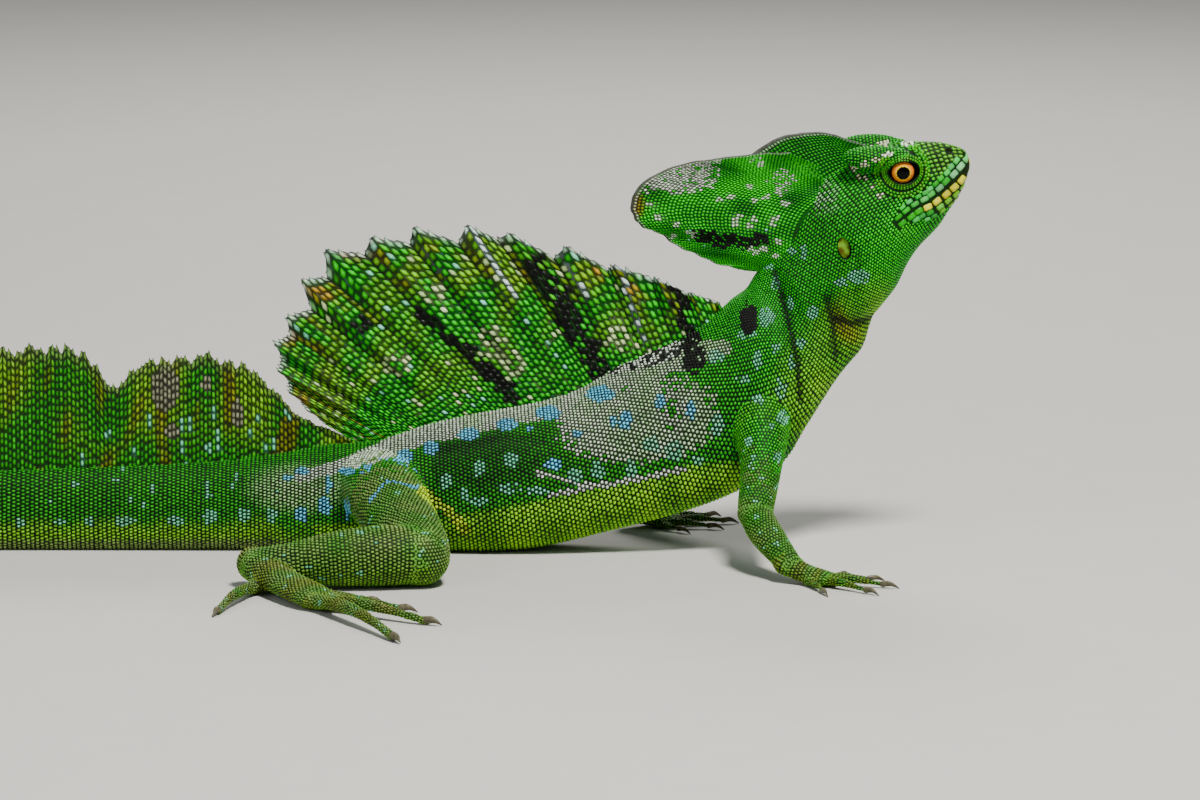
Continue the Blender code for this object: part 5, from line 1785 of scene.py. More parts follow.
# Rings round each eye: half width, half height, how many, half depth, height and shade.
LID_RINGS = (
    (5.15, 3.95, 36, 0.24, 0.18, 0.5),
    (5.7, 4.55, 38, 0.27, 0.24, 1.0),
    (6.25, 5.15, 40, 0.27, 0.26, 0.8),
    (7.55, 6.55, 42, 0.4, 0.42, 0.9),
    (8.45, 7.5, 42, 0.46, 0.4, 1.0),
)


class BASILISK_OT_eyes(bpy.types.Operator):
    """Models both eyeballs with iris, pupil and a clear coat"""

    bl_idname = "basilisk.eyes"
    bl_label = "Eyes"

    def execute(self, context):
        for side, name in ((-1, "eye_right"), (1, "eye_left")):
            ball = add_ball(mirrored(EYE, side), EYE_RADIUS, 64, 48)
            bpy.ops.object.transform_apply(location=True, rotation=True, scale=True)
            ball.name = name.replace("eye_", "eyeball_")
            self.mark(ball, side)
            self.swell(ball, side)
            as_rolled(ball)
            ball.data.materials.clear()
            ball.data.materials.append(eye_material())
            ball.data.shade_smooth()
            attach(ball, "root")
            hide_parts(name)
        return {"FINISHED"}

    def mark(self, ball, side):
        """Stores how far each point lies from the pupil's middle, and which way."""
        points = mesh_points(ball) / MM - on_side(EYE, side)
        away = np.hypot(points[:, 0], points[:, 2])
        away = np.where(points[:, 1] * side > 0, away, EYE_RADIUS)
        layer = ball.data.attributes.new("ring", "FLOAT", "POINT")
        layer.data.foreach_set("value", away.astype(np.float32))
        layer = ball.data.attributes.new("flat", "FLOAT_VECTOR", "POINT")
        layer.data.foreach_set("vector", unit(points).astype(np.float32).ravel())

    def swell(self, ball, side):
        """Raises the cornea a little."""
        points = mesh_points(ball)
        centre = np.array(mirrored(EYE, side))
        arm = (points - centre) / MM
        away = np.hypot(arm[:, 0], arm[:, 2])
        rise = CORNEA_RISE * (1 - smooth(*CORNEA_REACH, away)) * (arm[:, 1] * side > 0)
        set_points(ball, points + unit(arm) * rise[:, None] * MM)


def eye_material():
    """A black pupil, a yellow inner ring, an orange iris with rays and a dark rim."""
    if "eyeball" in bpy.data.materials:
        return bpy.data.materials["eyeball"]
    made, tree, surface = new_material("eyeball", 0.45, 0.03, 0.12)
    surface.inputs["Coat Roughness"].default_value = 0.03
    ring = node(tree, "ShaderNodeAttribute", {"attribute_name": "ring"}, out=2)
    flat = node(tree, "ShaderNodeAttribute", {"attribute_name": "flat"}, out=1)
    rays = node(tree, "ShaderNodeTexNoise", {}, {"Vector": flat, "Scale": 14.0, "Detail": 4.0})
    uneven = ring + rays * 0.5 - 0.25
    ramp = tree.nodes.new("ShaderNodeValToRGB")
    for _ in range(len(EYE_STOPS) - 2):
        ramp.color_ramp.elements.new(0.5)
    for stop, (place, shade) in zip(ramp.color_ramp.elements, EYE_STOPS):
        stop.position = place / EYE_RADIUS
        stop.color = (*tone(*shade), 1.0)
    tree.links.new((uneven * (1 / EYE_RADIUS)).socket, ramp.inputs[0])
    iris = Sock(tree, ramp.outputs[0])
    link(tree, shaded(tree, iris, 0.6 + rays * 0.8), surface, "Base Color")
    return made


# How far the cornea stands out, and between what distances from its middle it falls away.
CORNEA_RISE = 0.35
CORNEA_REACH = (0.5, 3.8)
# The eye's colours by distance from the pupil's middle, in millimetres.
EYE_STOPS = (
    (0.0, (0, 0, 0)), (1.98, (0, 0, 0)), (2.08, (238, 200, 0)), (2.32, (238, 176, 0)),
    (2.55, (232, 140, 0)), (3.25, (222, 116, 0)), (3.5, (70, 26, 0)), (3.7, (5, 4, 3)),
)


class BASILISK_OT_ears(bpy.types.Operator):
    """Sets an eardrum in each ear's hollow"""

    bl_idname = "basilisk.ears"
    bl_label = "Ears"

    def execute(self, context):
        for side, name in ((-1, "ear_right"), (1, "ear_left")):
            y = ear_middle(side)[1]
            drum = add_ball(Vector((EAR[0], y - side * EARDRUM_DEPTH, EAR[1])) * MM, 1.0, 32, 20)
            drum.rotation_euler = (0.0, -EAR_TILT, 0.0)
            drum.scale = (EAR_SIZE[0], 0.55, EAR_SIZE[1])
            as_rolled(drum)
            drum.name = name.replace("ear_", "eardrum_")
            drum.data.materials.clear()
            drum.data.materials.append(material("drum"))
            drum.data.shade_smooth()
            points = mesh_points(drum) / MM
            mark = smooth(-0.2, 0.8, mottle(points, 2.4, 31))
            base = np.tile(EARDRUM_GREEN, (len(points), 1))
            set_tint(drum, mix(base, colour("olive") * 0.5, mark))
            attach(drum, "root")
            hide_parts(name)
        return {"FINISHED"}


# How soon a crest's rows take up its ragged rim: the higher, the nearer to the rim.
RAGGED_POWER = 5


class Sheet:
    """A crest as two faces over a flat drawing, read by column and by share of its height."""

    def __init__(self, root, rim, even, half, waves, lift):
        self.root = root
        self.rim = rim
        self.even = even
        self.half = half
        self.waves = waves
        self.lift = lift

    def point(self, column, high, side, over=0.0):
        """A place on one face, side -1 for the right, in millimetres."""
        root, even, high = self.root(column), self.even(column), np.asarray(high)
        ragged = (self.rim(column) - even) * (high ** RAGGED_POWER)[..., None]
        flat = root + (even - root) * high[..., None] + ragged
        off = side * (self.half(column, high) + over) - self.waves(column, high)
        return self.lift(flat, off)

    def membrane(self, name, columns, rows, tint_of):
        """The closed membrane: its two faces and the rim round them."""
        grid_c, grid_h = np.meshgrid(columns, rows, indexing="ij")
        faces_points = [self.point(grid_c, grid_h, side) for side in (-1, 1)]
        points = np.concatenate([p.reshape(-1, 3) for p in faces_points])
        high, back = len(rows), len(columns) * len(rows)
        c, r = np.meshgrid(np.arange(len(columns) - 1), np.arange(high - 1), indexing="ij")
        a = (c * high + r).ravel()
        front = np.stack([a, a + high, a + high + 1, a + 1], axis=1)
        rear = np.stack([a, a + 1, a + high + 1, a + high], axis=1) + back
        edge = list(range(high)) + [c * high + high - 1 for c in range(1, len(columns))]
        edge += [(len(columns) - 1) * high + r for r in range(high - 2, -1, -1)]
        edge += [c * high for c in range(len(columns) - 2, 0, -1)]
        edge = np.array(edge)
        ahead = np.roll(edge, -1)
        rim = np.stack([edge, ahead, ahead + back, edge + back], axis=1)
        faces = np.concatenate([front, rear, rim])
        piece = mesh_object(name, points, [tuple(f) for f in faces], material("membrane"))
        face_outwards(piece)
        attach(piece, "root")
        places = mesh_points(piece).astype(float) / MM
        column, share = np.tile(grid_c.ravel(), 2), np.tile(grid_h.ravel(), 2)
        tint = tint_of(places, column, share, np.random.default_rng(3))
        # The membrane's tint, darkened as painted shade, shows in the gaps between its scales.
        set_tint(piece, np.clip(tint * MEMBRANE_PAINTED_SHADE, 0, 1))
        return piece

    def coat(self, name, found, height, tint_of, rng):
        """Makes the scales on both faces, from tables of columns, heights and half sizes."""
        coat = Coat(name)
        cells = np.concatenate(found)
        column, high, half_column, half_high = cells[cells[:, 1] < END_HIGH].T
        corners = np.array(LONG_CELL) * (1 - 0.8 * sizes().gap)
        pointed = np.array(POINTED_CELL) * (1 - 0.8 * sizes().gap)
        shape = np.where((high > RIM_FROM)[:, None, None], pointed, corners)
        for side in (-1, 1):
            c = column[:, None] + half_column[:, None] * shape[..., 1]
            h = high[:, None] + half_high[:, None] * shape[..., 0]
            centre = self.point(column, high, side)
            rim = self.point(c, np.clip(h, 0, MOST_HIGH), side)
            out = unit(np.cross(rim[:, 1] - rim[:, 4], rim[:, 0] - rim[:, 3]))
            facing = self.point(column, high, side, 1.0) - centre
            out *= np.sign((out * facing).sum(axis=1))[:, None]
            rim = turned_out(centre, rim, out)
            tint = tint_of(centre, column, high, rng)
            spread = column.max() - column.min()
            place = np.stack([(column - column.min()) / spread * 0.97, high * 0.47], axis=1)
            place = place + (0.01, 0.01 if side < 0 else 0.51)
            coat.add(centre, rim, out, height, tint, place)
        coat.build()


def upright_lift(flat, off):
    return np.stack([flat[..., 0], off, flat[..., 1]], axis=-1)


def rolled_lift(flat, off):
    return rolled(upright_lift(flat, off))


def tail_lift(flat, off):
    """A place of the tail crest's flat drawing on the bent tail."""
    place, way = on_tail(flat[..., 0])
    across = np.stack([-way[..., 1], way[..., 0], 0 * way[..., 0]], axis=-1)
    return place + across * off[..., None] + flat[..., 1, None] * np.array((0, 0, 1.0))


def trunk_root(row, depth):
    """A place as far below the trunk's top line as the share of its depth says."""
    found = curve(TRUNK, row)
    return (1 - depth) * found[..., :2] + depth * found[..., 2:4]


# Each of the sail's lobes: the membrane's columns, the share of it after which its edge jumps up
# to the next lobe's tip, its columns of scales and its edge's small steps.
LOBE_STEPS = 20
LOBE_JUMP = 0.667
COLUMNS_PER_LOBE = 6
STEPS_PER_LOBE = 3
# How deep in the trunk the sail starts, as a share of the trunk's depth, how high its scales
# start, as a share of the sail's height, and how long they are.
SAIL_DEPTH = 0.12
SAIL_FROM = 0.08
SAIL_SCALE = 2.5
# How high the scales on a rim stand, and where the other scales end.
RIM_HIGH = 0.99
END_HIGH = 0.995


def sail_rim(column):
    """The sail's edge: it falls forward from each lobe's tip in small steps, then jumps up."""
    column = np.clip(column, 0, len(SAIL_LOBES) - 1.001)
    lobe = column.astype(int)
    share = column - lobe
    lobes = np.array(SAIL_LOBES)
    tip, low, ahead = lobes[lobe, 1:3], lobes[lobe, 3:5], lobes[lobe + 1, 1:3]
    fall = np.clip(share / LOBE_JUMP, 0, 1)
    line = tip + (low - tip) * fall[..., None]
    tooth = (fall * STEPS_PER_LOBE) % 1.0
    out = unit(tip - trunk_root(lobes[lobe, 0], SAIL_DEPTH))
    size = np.linalg.norm(low - tip, axis=-1) * 0.09
    line = line + out * ((tooth - 0.5) * -size * (fall > 0.02) * (fall < 0.98))[..., None]
    jump = smooth(LOBE_JUMP, 1.0, share)[..., None]
    return line * (1 - jump) + ahead * jump


def sail_even(column):
    """A smooth line along the middle of the sail's ragged edge."""
    lobes = np.array(SAIL_LOBES)
    return curve((lobes[:, 1:3] + lobes[:, 3:5]) / 2, np.asarray(column) - LOBE_JUMP / 2)


def sail_root(column):
    rows = np.interp(column, np.arange(len(SAIL_LOBES)), [lobe[0] for lobe in SAIL_LOBES])
    return trunk_root(rows, SAIL_DEPTH)


def ray_height(column, high):
    """How far the sail's rays stand out: a strong one at each lobe's rear, fine ones between."""
    share = np.mod(column, 1)
    near = np.minimum(share, 1 - share)
    strong = 0.4 * np.exp(-((near / 0.045) ** 2))
    fine = 0.14 * np.exp(-(((np.mod(share * 4, 1) - 0.5) / 0.3) ** 2))
    return (strong + fine) * (0.35 + 0.65 * np.asarray(high))


def sail_half(column, high):
    return 1.05 - 0.75 * np.asarray(high) ** 0.6 + ray_height(column, high) * 0.8


def sail_waves(column, high):
    """Each lobe stands out to the right at its rear ray and falls back towards the next."""
    share = np.mod(column, 1)
    fall = 1 - 2 * share / LOBE_JUMP
    rise = -1 + 2 * (share - LOBE_JUMP) / (1 - LOBE_JUMP)
    saw = np.where(share < LOBE_JUMP, fall, rise)
    strength = sizes().pleat / MM * smooth(0.1, 0.6, high)
    wander = 1 + 0.35 * np.sin(column * 2.4)
    return saw * strength * wander


def sail_tints(points, column, high, rng):
    """Greens with olive and rust near the edge, pale scattered scales, black bars and painted shadow in
    the folds between the lobes.
    """
    x, height = seen(points)
    patch = mottle(points * (1, 0.2, 1), 16.0, 41)
    streak = mottle(np.stack([column * 9, 0.6 * high, 0 * high], axis=1), 2.2, 43)
    limy = smooth(-0.3, 0.9, patch) * smooth(0.1, 0.5, high)
    base = mix(np.tile(colour("green") * 1.15, (len(x), 1)), colour("lime") * 0.8, limy)
    base = mix(base, colour("olive") * 0.9, smooth(0.3, 1.1, streak + 0.9 * (high - 0.6)) * 0.8)
    rust = smooth(0.6, 0.95, high) * smooth(0.35, 0.9, mottle(points, 9.0, 47))
    base = mix(base, SAIL_RUST, 0.75 * rust)
    draw = rng.uniform(0, 1, len(x))
    pale = draw < 0.03 + 0.06 * smooth(0.3, 0.8, patch)
    for spot in SAIL_PALE:
        pale |= (oval(x, height, spot, 0.3) > 0.5) & (draw < 0.62)
    cream = SAIL_CREAM * rng.uniform(0.6, 1.3, (len(x), 1))
    tint = np.where(pale[:, None], cream, base)
    tint = np.where((draw > 0.98)[:, None], colour("turquoise"), tint)
    for path in SAIL_STREAKS:
        ridge = (distance_to(path, x, height) < 0.95) & (rng.uniform(0, 1, len(x)) < 0.8)
        tint = np.where(ridge[:, None], SAIL_RAY, tint)
    tint = mix(tint, SAIL_EDGE, smooth(0.95, 1.0, high) * 0.8)
    for path, wide in SAIL_BARS:
        broken = distance_to(path, x, height) + 1.3 * mottle(points, 4.5, 53)
        barred = (broken < wide) & (rng.uniform(0, 1, len(x)) < 0.8)
        tint = np.where(barred[:, None], colour("black"), tint)
    # Painted shadow darkens each fold where one lobe meets the next.
    fold_shadow = np.exp(-(((np.mod(column, 1) - LOBE_JUMP - 0.03) / 0.09) ** 2))
    fold_shadow = fold_shadow * smooth(0.12, 0.35, high)
    return tint * (1 - 0.6 * fold_shadow[:, None]) * rng.uniform(0.55, 1.4, (len(x), 1))


# Whitish streaks along some of the sail's rays.
SAIL_STREAKS = (
    ((-12.5, 95.3), (-7.2, 86.9)), ((3.1, 99.4), (17.8, 78.4)), ((31.9, 90.9), (39.7, 78.4)),
    ((50.0, 86.9), (57.2, 64.9)),
)
# Groups of pale scales on the sail.
SAIL_PALE = (
    (10.0, 64.0, 5.0, 5.0), (16.5, 57.0, 4.0, 4.6), (48.5, 67.0, 3.2, 6.0), (52.0, 64.0, 2.4, 4.0),
    (-20.0, 58.0, 5.0, 4.0), (-8.0, 80.0, 4.0, 3.4),
)


class BASILISK_OT_sail(bpy.types.Operator):
    """Models the pleated sail along the back, with scales along its rays"""

    bl_idname = "basilisk.sail"
    bl_label = "Sail"

    def execute(self, context):
        sheet = Sheet(sail_root, sail_rim, sail_even, sail_half, sail_waves, upright_lift)
        lobes = len(SAIL_LOBES) - 1
        columns = np.arange(lobes * LOBE_STEPS + 1) / LOBE_STEPS
        sail = sheet.membrane("sail", columns, np.linspace(0, 1, 34), sail_tints)
        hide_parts("dorsal_sail")
        self.coat(sheet, lobes)
        return {"FINISHED"}

    def coat(self, sheet, lobes):
        rng = np.random.default_rng(29)
        found = []
        for n in range(lobes * COLUMNS_PER_LOBE):
            column = (n + 0.5) / COLUMNS_PER_LOBE
            length = np.linalg.norm(sheet.rim(np.array([column])) - sheet.root(np.array([column])))
            count = max(3, int(length / SAIL_SCALE))
            even = (np.arange(count + 1) + rng.uniform(0, 1)) / count
            high = even * (0.75 + 0.25 * even)
            half = np.gradient(high) / 2
            high = high + rng.normal(0, 0.1, count + 1) * half
            jitter = rng.normal(0, 0.008, count + 1)
            cells = cells_of(column + jitter, high, 0.5 / COLUMNS_PER_LOBE, half)
            found.append(cells[cells[:, 1] > SAIL_FROM])
            found.append(np.array([[column, RIM_HIGH, 0.45 / COLUMNS_PER_LOBE, 1.2 / length]]))
        sheet.coat("scales_sail", found, 0.32, sail_tints, rng)


# How deep in the tail its crest starts, how far apart its columns of scales are and how long
# these are.
TAIL_CREST_DEPTH = 5.0
CREST_RAY = 1.25
CREST_SCALE = 2.3


def tail_crest_root(column):
    depth = curve_by_first(TAIL, np.clip(column, 0, TAIL_LENGTH) / TAIL_LENGTH)[..., 1] - TAIL_SINK
    return np.stack([column, depth - TAIL_CREST_DEPTH], axis=-1)


def tail_crest_even(column, tooth=0.94):
    """A smooth line along the tail crest's edge, or the edge itself with its teeth."""
    height = table(TAIL_CREST_RIM, column)
    depth = tail_crest_root(column)[..., 1] + TAIL_CREST_DEPTH
    return np.stack([column, depth + height * tooth], axis=-1)


def tail_crest_rim(column):
    """The tail crest's ragged edge."""
    fine = np.abs(2 * np.mod(column / 2.9 + 0.3 * np.sin(column * 0.37), 1) - 1)
    broad = np.abs(2 * np.mod(column / 6.1 + 0.3 * np.sin(column * 0.23), 1) - 1)
    return tail_crest_even(column, 1 - 0.05 * fine - 0.07 * broad)


def tail_crest_half(column, high):
    return 1.0 - 0.7 * np.asarray(high) ** 0.6


def tail_crest_waves(column, high):
    return 0.9 * np.sin(column * 0.35) * smooth(0.2, 1.0, high)


def tail_crest_tints(points, column, high, rng):
    """Olive and yellow-green with dark rays, turquoise spots and grey worn patches."""
    x, height = seen(points)
    patch = mottle(points * (1, 0.2, 0.6), 17.0, 61)
    limy = smooth(-0.4, 0.7, patch) * smooth(0.1, 0.5, high)
    base = mix(np.tile(colour("deep") * 1.2, (len(x), 1)), colour("lime") * 0.75, limy)
    base = mix(base, colour("olive"), smooth(0.2, 1.0, mottle(points * (1, 0.2, 0.3), 6.0, 67)) * 0.8)
    streak = 0.85 + 0.3 * np.sin(column * 2.3 + 2.0 * np.sin(column * 0.31))
    base = base * streak[:, None]
    for px, pz in CREST_SPOTS:
        spot = oval(x, height, (px, pz, 1.0, 1.8), 0.2) > 0.5
        base = np.where(spot[:, None], colour("turquoise") * 0.85, base)
    for patch_spot in CREST_WORN:
        worn = oval(x, height, patch_spot, 0.15) > 0.5
        base = np.where(worn[:, None], WORN_GREY, base)
    base = mix(base, colour("drab") * 0.8, smooth(0.86, 1.0, high) * 0.8)
    return base * rng.uniform(0.75, 1.2, (len(x), 1))


# Worn grey patches of the tail's crest.
CREST_WORN = (
    (-92.0, 50.0, 4.5, 7.0), (-89.7, 36.2, 2.4, 2.8), (-69.5, 41.7, 1.6, 4.8),
    (-79.4, 51.0, 1.6, 2.4),
)


class BASILISK_OT_tail_crest(bpy.types.Operator):
    """Models the crest along the root of the tail"""

    bl_idname = "basilisk.tail_crest"
    bl_label = "Tail crest"

    def execute(self, context):
        sheet = Sheet(
            tail_crest_root, tail_crest_rim, tail_crest_even, tail_crest_half, tail_crest_waves,
            tail_lift,
        )
        ends = TAIL_CREST_RIM[0][0], TAIL_CREST_RIM[-1][0]
        columns = np.arange(ends[0], ends[1], 0.6)
        crest = sheet.membrane("tail_crest", columns, np.linspace(0, 1, 18), tail_crest_tints)
        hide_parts("tail_crest_1", "tail_crest_2")
        self.coat(sheet, ends)
        return {"FINISHED"}

    def coat(self, sheet, ends):
        rng = np.random.default_rng(37)
        found = []
        for column in np.arange(ends[0] + 1.0, ends[1] - 1.0, CREST_RAY):
            at = np.array([column])
            length = np.linalg.norm(sheet.rim(at) - sheet.root(at))
            count = max(3, int(length / CREST_SCALE))
            high = (np.arange(count) + rng.uniform(0, 1)) / count
            high = high + rng.normal(0, 0.1 / count, count)
            found.append(cells_of(column, high, CREST_RAY / 2, 0.5 / count))
            found.append(np.array([[column, RIM_HIGH, CREST_RAY / 2, 1.1 / length]]))
        sheet.coat("scales_tail_crest", found, 0.24, tail_crest_tints, rng)


# How hollow a head crest's section is from its thick root to its thin rim.
CREST_HOLLOW = 2.2
# The head crests' scales: how wide and tall, and from what share of the crest's height.
CREST_SCALE_WIDE = 1.05
CREST_SCALE_TALL = 1.15
CREST_FROM = 0.2


def head_crest_sheet(rows, rims, depth, thick, ripple):
    """A head crest that rises from a stretch of the trunk's rows to a smooth rim."""

    def root(share):
        return trunk_root(rows[0] + (rows[1] - rows[0]) * np.asarray(share), depth)

    def rim(share):
        place = np.asarray(share) * (len(rims) - 1)
        ripple_out = 0.25 * ripple * np.sin(place * 7.0) + 0.2 * ripple * np.sin(place * 17.0)
        return curve(rims, place) + ripple_out[..., None]

    def half(share, high):
        ends = smooth(0.0, 0.25, share) * (1 - smooth(0.72, 1.0, share))
        wedge = (thick[0] - thick[1]) / 2 * (0.25 + 0.75 * ends)
        return thick[1] / 2 + wedge * (1 - np.asarray(high)) ** CREST_HOLLOW

    def waves(share, high):
        fold = np.sin(np.asarray(share) * 13.0 + 1.0) + 0.5 * np.sin(np.asarray(share) * 31.0)
        return ripple * fold * smooth(0.3, 1.0, high)

    return Sheet(root, rim, rim, half, waves, rolled_lift)


def rear_crest_tints(points, column, high, rng):
    """Bright green with pale square spots, a painted whitish sheen on the upper rear and a black lower
    blotch.
    """
    x, height = seen(points)
    patch = mottle(points, 10.0, 71)
    base = np.tile(colour("green") * 1.7, (len(x), 1)) * (0.8 + 0.4 * patch[:, None])
    draw = rng.uniform(0, 1, len(x))
    spots = np.random.default_rng(97).uniform((56.0, 90.0), (102.0, 121.0), (42, 2))
    off_x = np.abs(x[:, None] - spots[:, 0]) / 1.05
    off_z = np.abs(height[:, None] - spots[:, 1]) / 0.85
    pale = (np.maximum(off_x, off_z).min(axis=1) < 1) & (high > 0.2)
    # Painted sheen: the glossy whitish upper rear and a patch ahead of it.
    white_sheen = oval(x, height, (67.0, 117.0, 13.0, 6.0), 0.5) + 0.3 * mottle(points, 3.0, 79) > 0.45
    fore_white_sheen = 0.8 * oval(x, height, (100.0, 114.0, 5.0, 5.0), 0.5) > draw + 0.4
    white_sheen = (white_sheen & (draw < 0.85)) | fore_white_sheen
    base = np.where(pale[:, None], CREST_SPOT * 1.1, base)
    sheen = CREST_SHEEN_WHITE * rng.uniform(0.35, 1.2, (len(x), 1))
    base = np.where(white_sheen[:, None], sheen, base)
    base = mix(base, colour("olive"), oval(x, height, (54.5, 106.5, 3.0, 4.0), 0.4))
    blotch = distance_to(CREST_BLOTCH, x, height) + 1.3 * mottle(points, 3.0, 73) < 1.9
    blotch &= rng.uniform(0, 1, len(x)) < 0.82
    teal = (distance_to(CREST_BLOTCH, x, height - 0.5) < 3.4) & (draw > 0.9)
    base = np.where(teal[:, None], colour("turquoise"), base)
    base = np.where(blotch[:, None], colour("black"), base)
    base = mix(base, CREST_EDGE, smooth(0.965, 1.0, high))
    return base * rng.uniform(0.8, 1.15, (len(x), 1))


def front_crest_tints(points, column, high, rng):
    """Dark green with a whitish rim."""
    base = np.tile(colour("green") * 0.8, (len(points), 1))
    base = mix(base, FRONT_CREST_EDGE, smooth(0.93, 0.99, high))
    return base * rng.uniform(0.7, 1.2, (len(points), 1))


class BASILISK_OT_head_crests(bpy.types.Operator):
    """Models the large lobe behind the head and the small one before it"""

    bl_idname = "basilisk.head_crests"
    bl_label = "Head crests"

    def execute(self, context):
        rear = head_crest_sheet(REAR_CREST_ROWS, REAR_CREST_RIM, 0.3, (15.0, 0.8), 0.7)
        front = head_crest_sheet(FRONT_CREST_ROWS, FRONT_CREST_RIM, 0.25, (6.0, 0.7), 0.25)
        self.make(rear, "rear_crest", "head_crest_rear", rear_crest_tints)
        self.make(front, "front_crest", "head_crest_front", front_crest_tints)
        return {"FINISHED"}

    def make(self, sheet, name, cad, tints):
        columns = np.linspace(0, 1, 90)
        crest = sheet.membrane(name, columns, np.linspace(0, 1, 30), tints)
        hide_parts(cad)
        found = []
        middle = np.linalg.norm(sheet.rim(np.array([0.5])) - sheet.root(np.array([0.5])))
        step = CREST_SCALE_TALL / middle
        for n, high in enumerate(np.arange(CREST_FROM, RIM_HIGH, step)):
            line = sheet.root(columns) + (sheet.rim(columns) - sheet.root(columns)) * high
            length = np.linalg.norm(np.diff(line, axis=0), axis=1)
            gone = np.concatenate([[0], np.cumsum(length)])
            count = max(6, int(gone[-1] / CREST_SCALE_WIDE))
            even = (np.arange(count) + 0.5 * (1 + n % 2) - 0.25) / count
            share = np.interp(even * gone[-1], gone, columns)
            found.append(cells_of(share, high, np.gradient(share) / 2, step / 2))
        sheet.coat("scales_" + name, found, 0.28, tints, np.random.default_rng(43))


class BASILISK_OT_claws(bpy.types.Operator):
    """Sets a curved horn claw on the tip of every toe"""

    bl_idname = "basilisk.claws"
    bl_label = "Claws"

    def execute(self, context):
        for name, limb, heading, side, _, toes in FEET:
            root, way, out = foot_frame(limb, heading, side)
            pieces = []
            for along, across, angle, bend, length, thick in toes:
                start = root + way * along + out * across
                path = toe_path(start, heading + side * angle, side * bend, length, thick)
                pieces.append(self.claw(path, math.radians(heading + side * (angle + bend))))
            self.join(pieces, "claws_" + name)
        return {"FINISHED"}

    def claw(self, path, turn):
        """A cone that narrows and bends down to the floor."""
        tip = np.array(path[-1][:3])
        thick = path[-1][3]
        way = np.array((math.cos(turn), math.sin(turn), 0.0))
        line = [
            (*(tip - way * 0.6 + (0, 0, 0.35)), thick * 0.72, thick * 0.8),
            (*(tip + way * 1.4 + (0, 0, 0.6)), thick * 0.56, thick * 0.7),
            (*(tip + way * 3.0 + (0, 0, 0.15)), thick * 0.34, thick * 0.42),
            (*(tip + way * CLAW_LENGTH + (0, 0, -0.75)), 0.12, 0.14),
        ]
        points, faces = Form("claw", tube_rings(line, 12, 12, 3)).shell()
        points[:, 2] = np.maximum(points[:, 2], 0.03)
        return mesh_object("claw", points, faces, material("horn"))

    def join(self, pieces, name):
        bpy.ops.object.select_all(action="DESELECT")
        for piece in pieces:
            face_outwards(piece)
            piece.select_set(True)
        bpy.context.view_layer.objects.active = pieces[0]
        bpy.ops.object.join()
        claws = bpy.context.object
        claws.name = name
        points = mesh_points(claws) / MM
        mark = 0.8 + 0.3 * mottle(points, 2.0, 3)[:, None]
        set_tint(claws, np.clip(CLAW_HORN * mark, 0, 1))
        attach(claws, "root")


class BASILISK_OT_stage(bpy.types.Operator):
    """Lays the pale floor, hangs soft studio lights and sets the camera"""

    bl_idname = "basilisk.stage"
    bl_label = "Stage"

    def execute(self, context):
        self.floor()
        self.world()
        for place, size, power, shade in LIGHTS:
            self.light(place, size, power, shade)
        self.camera()
        return {"FINISHED"}

    def floor(self):
        bpy.ops.object.select_all(action="DESELECT")
        bpy.ops.mesh.primitive_plane_add(size=12.0, location=(0.0, 0.0, 0.0))
        floor = bpy.context.object
        floor.name = "floor"
        made, tree, surface = new_material("floor", 0.85, 0.2)
        grain = noise(tree, 60.0)
        plain = node(tree, "ShaderNodeCombineXYZ", {}, FLOOR_COLOUR)
        link(tree, shaded(tree, plain, 0.97 + grain * 0.06), surface, "Base Color")
        floor.data.materials.append(made)

    def world(self):
        world = bpy.data.worlds.new("studio")
        world.use_nodes = True
        sky = world.node_tree.nodes["Background"]
        sky.inputs["Color"].default_value = SKY_COLOUR
        sky.inputs["Strength"].default_value = SKY_STRENGTH
        bpy.context.scene.world = world

    def light(self, place, size, power, shade):
        lamp = bpy.data.lights.new("softbox", "AREA")
        lamp.shape = "DISK"
        lamp.size = size
        lamp.energy = power
        lamp.color = shade
        made = bpy.data.objects.new("softbox", lamp)
        bpy.context.scene.collection.objects.link(made)
        made.location = place
        aim = Vector(LIGHTS_AIM) - Vector(place)
        made.rotation_mode = "QUATERNION"
        made.rotation_quaternion = aim.to_track_quat("-Z", "Y")

    def camera(self):
        camera = bpy.data.cameras.new("camera")
        camera.lens = LENS
        camera.sensor_width = SENSOR_WIDTH
        camera.clip_start = 0.05
        made = bpy.data.objects.new("camera", camera)
        bpy.context.scene.collection.objects.link(made)
        lift = math.radians(CAMERA_ELEVATION)
        target = Vector((CAMERA_TARGET[0], 0.0, CAMERA_TARGET[1])) * MM
        away = VIEW_WIDTH * MM * camera.lens / camera.sensor_width
        back = Vector((0.0, -math.cos(lift), math.sin(lift)))
        made.location = target + back * away
        made.rotation_mode = "QUATERNION"
        made.rotation_quaternion = (-back).to_track_quat("-Z", "Y")
        bpy.context.scene.camera = made


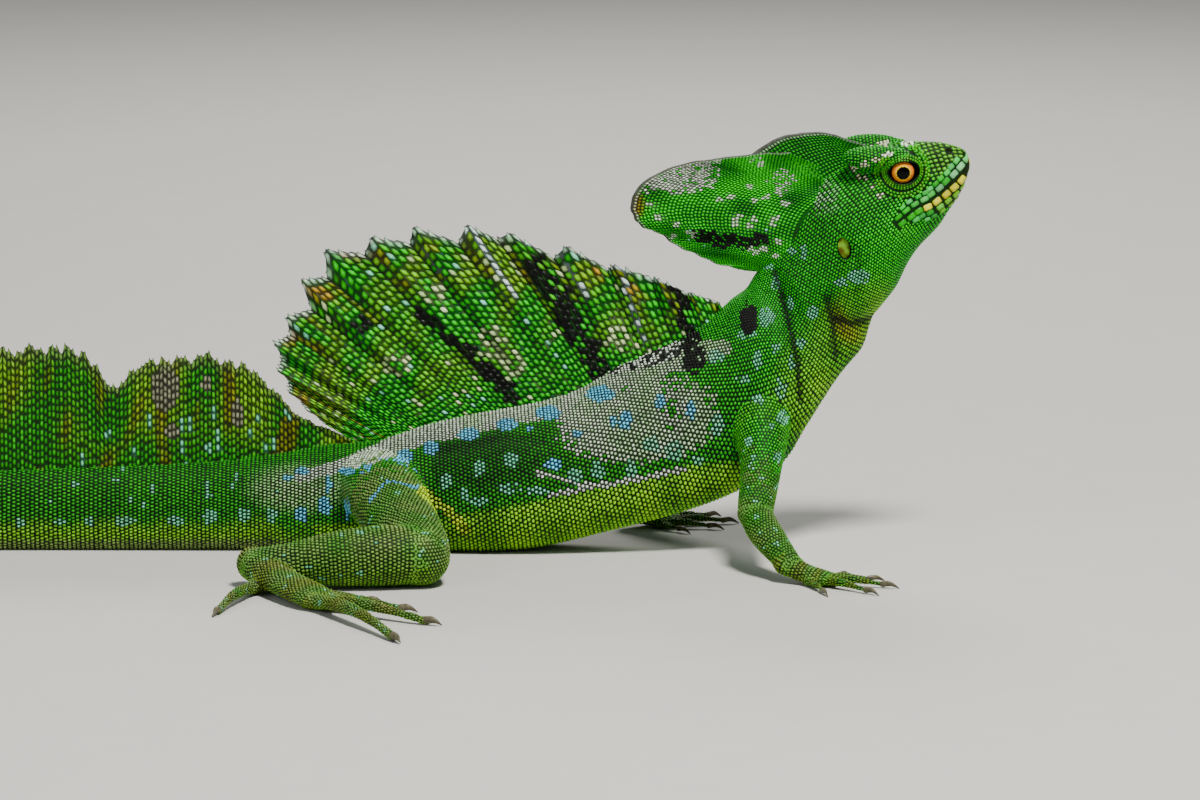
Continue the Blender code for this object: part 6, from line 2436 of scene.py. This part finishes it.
# The camera looks a little down on the right side: its elevation, what it looks at, x and z, and
# how wide the picture is there.
CAMERA_ELEVATION = 10.0
CAMERA_TARGET = (43.75, 46.96)
VIEW_WIDTH = 375.0
LENS = 200.0
SENSOR_WIDTH = 36.0
FLOOR_COLOUR = (0.5, 0.49, 0.465)
SKY_COLOUR = (0.80, 0.84, 0.88, 1.0)
SKY_STRENGTH = 0.2
# What the softboxes point at, and each one's place in metres, width, power in watts and colour.
LIGHTS_AIM = (0.03, 0.0, 0.05)
LIGHTS = (
    ((0.35, -0.62, 1.35), 0.32, 40.0, (1.0, 0.98, 0.94)),
    ((-0.9, -0.8, 0.6), 0.7, 4.0, (0.95, 0.98, 1.0)),
    ((0.1, 1.1, 0.9), 0.6, 12.0, (1.0, 0.98, 0.94)),
)


class BASILISK_PT_panel(bpy.types.Panel):
    """Shows the basilisk's sizes, colours and building steps in the sidebar"""

    bl_label = "Basilisk"
    bl_idname = "BASILISK_PT_panel"
    bl_space_type = "VIEW_3D"
    bl_region_type = "UI"
    bl_category = "Basilisk"

    def draw(self, context):
        for group in (context.scene.basilisk_sizes, context.scene.basilisk_colours):
            for name in group.bl_rna.properties.keys():
                if name not in ("rna_type", "name"):
                    self.layout.prop(group, name)
        for operator in OPERATORS:
            self.layout.operator(operator.bl_idname)


OPERATORS = (
    BASILISK_OT_skin, BASILISK_OT_coat, BASILISK_OT_head_plates, BASILISK_OT_eyes,
    BASILISK_OT_ears, BASILISK_OT_sail, BASILISK_OT_tail_crest, BASILISK_OT_head_crests,
    BASILISK_OT_claws, BASILISK_OT_stage,
)
CLASSES = (BasiliskSizes, BasiliskColours, *OPERATORS, BASILISK_PT_panel)


def register():
    for made in CLASSES:
        bpy.utils.register_class(made)
    bpy.types.Scene.basilisk_sizes = bpy.props.PointerProperty(type=BasiliskSizes)
    bpy.types.Scene.basilisk_colours = bpy.props.PointerProperty(type=BasiliskColours)


def unregister():
    del bpy.types.Scene.basilisk_colours
    del bpy.types.Scene.basilisk_sizes
    for made in reversed(CLASSES):
        bpy.utils.unregister_class(made)


def main():
    register()
    for operator in OPERATORS:
        group, name = operator.bl_idname.split(".")
        getattr(getattr(bpy.ops, group), name)()


if __name__ == "__main__":
    main()
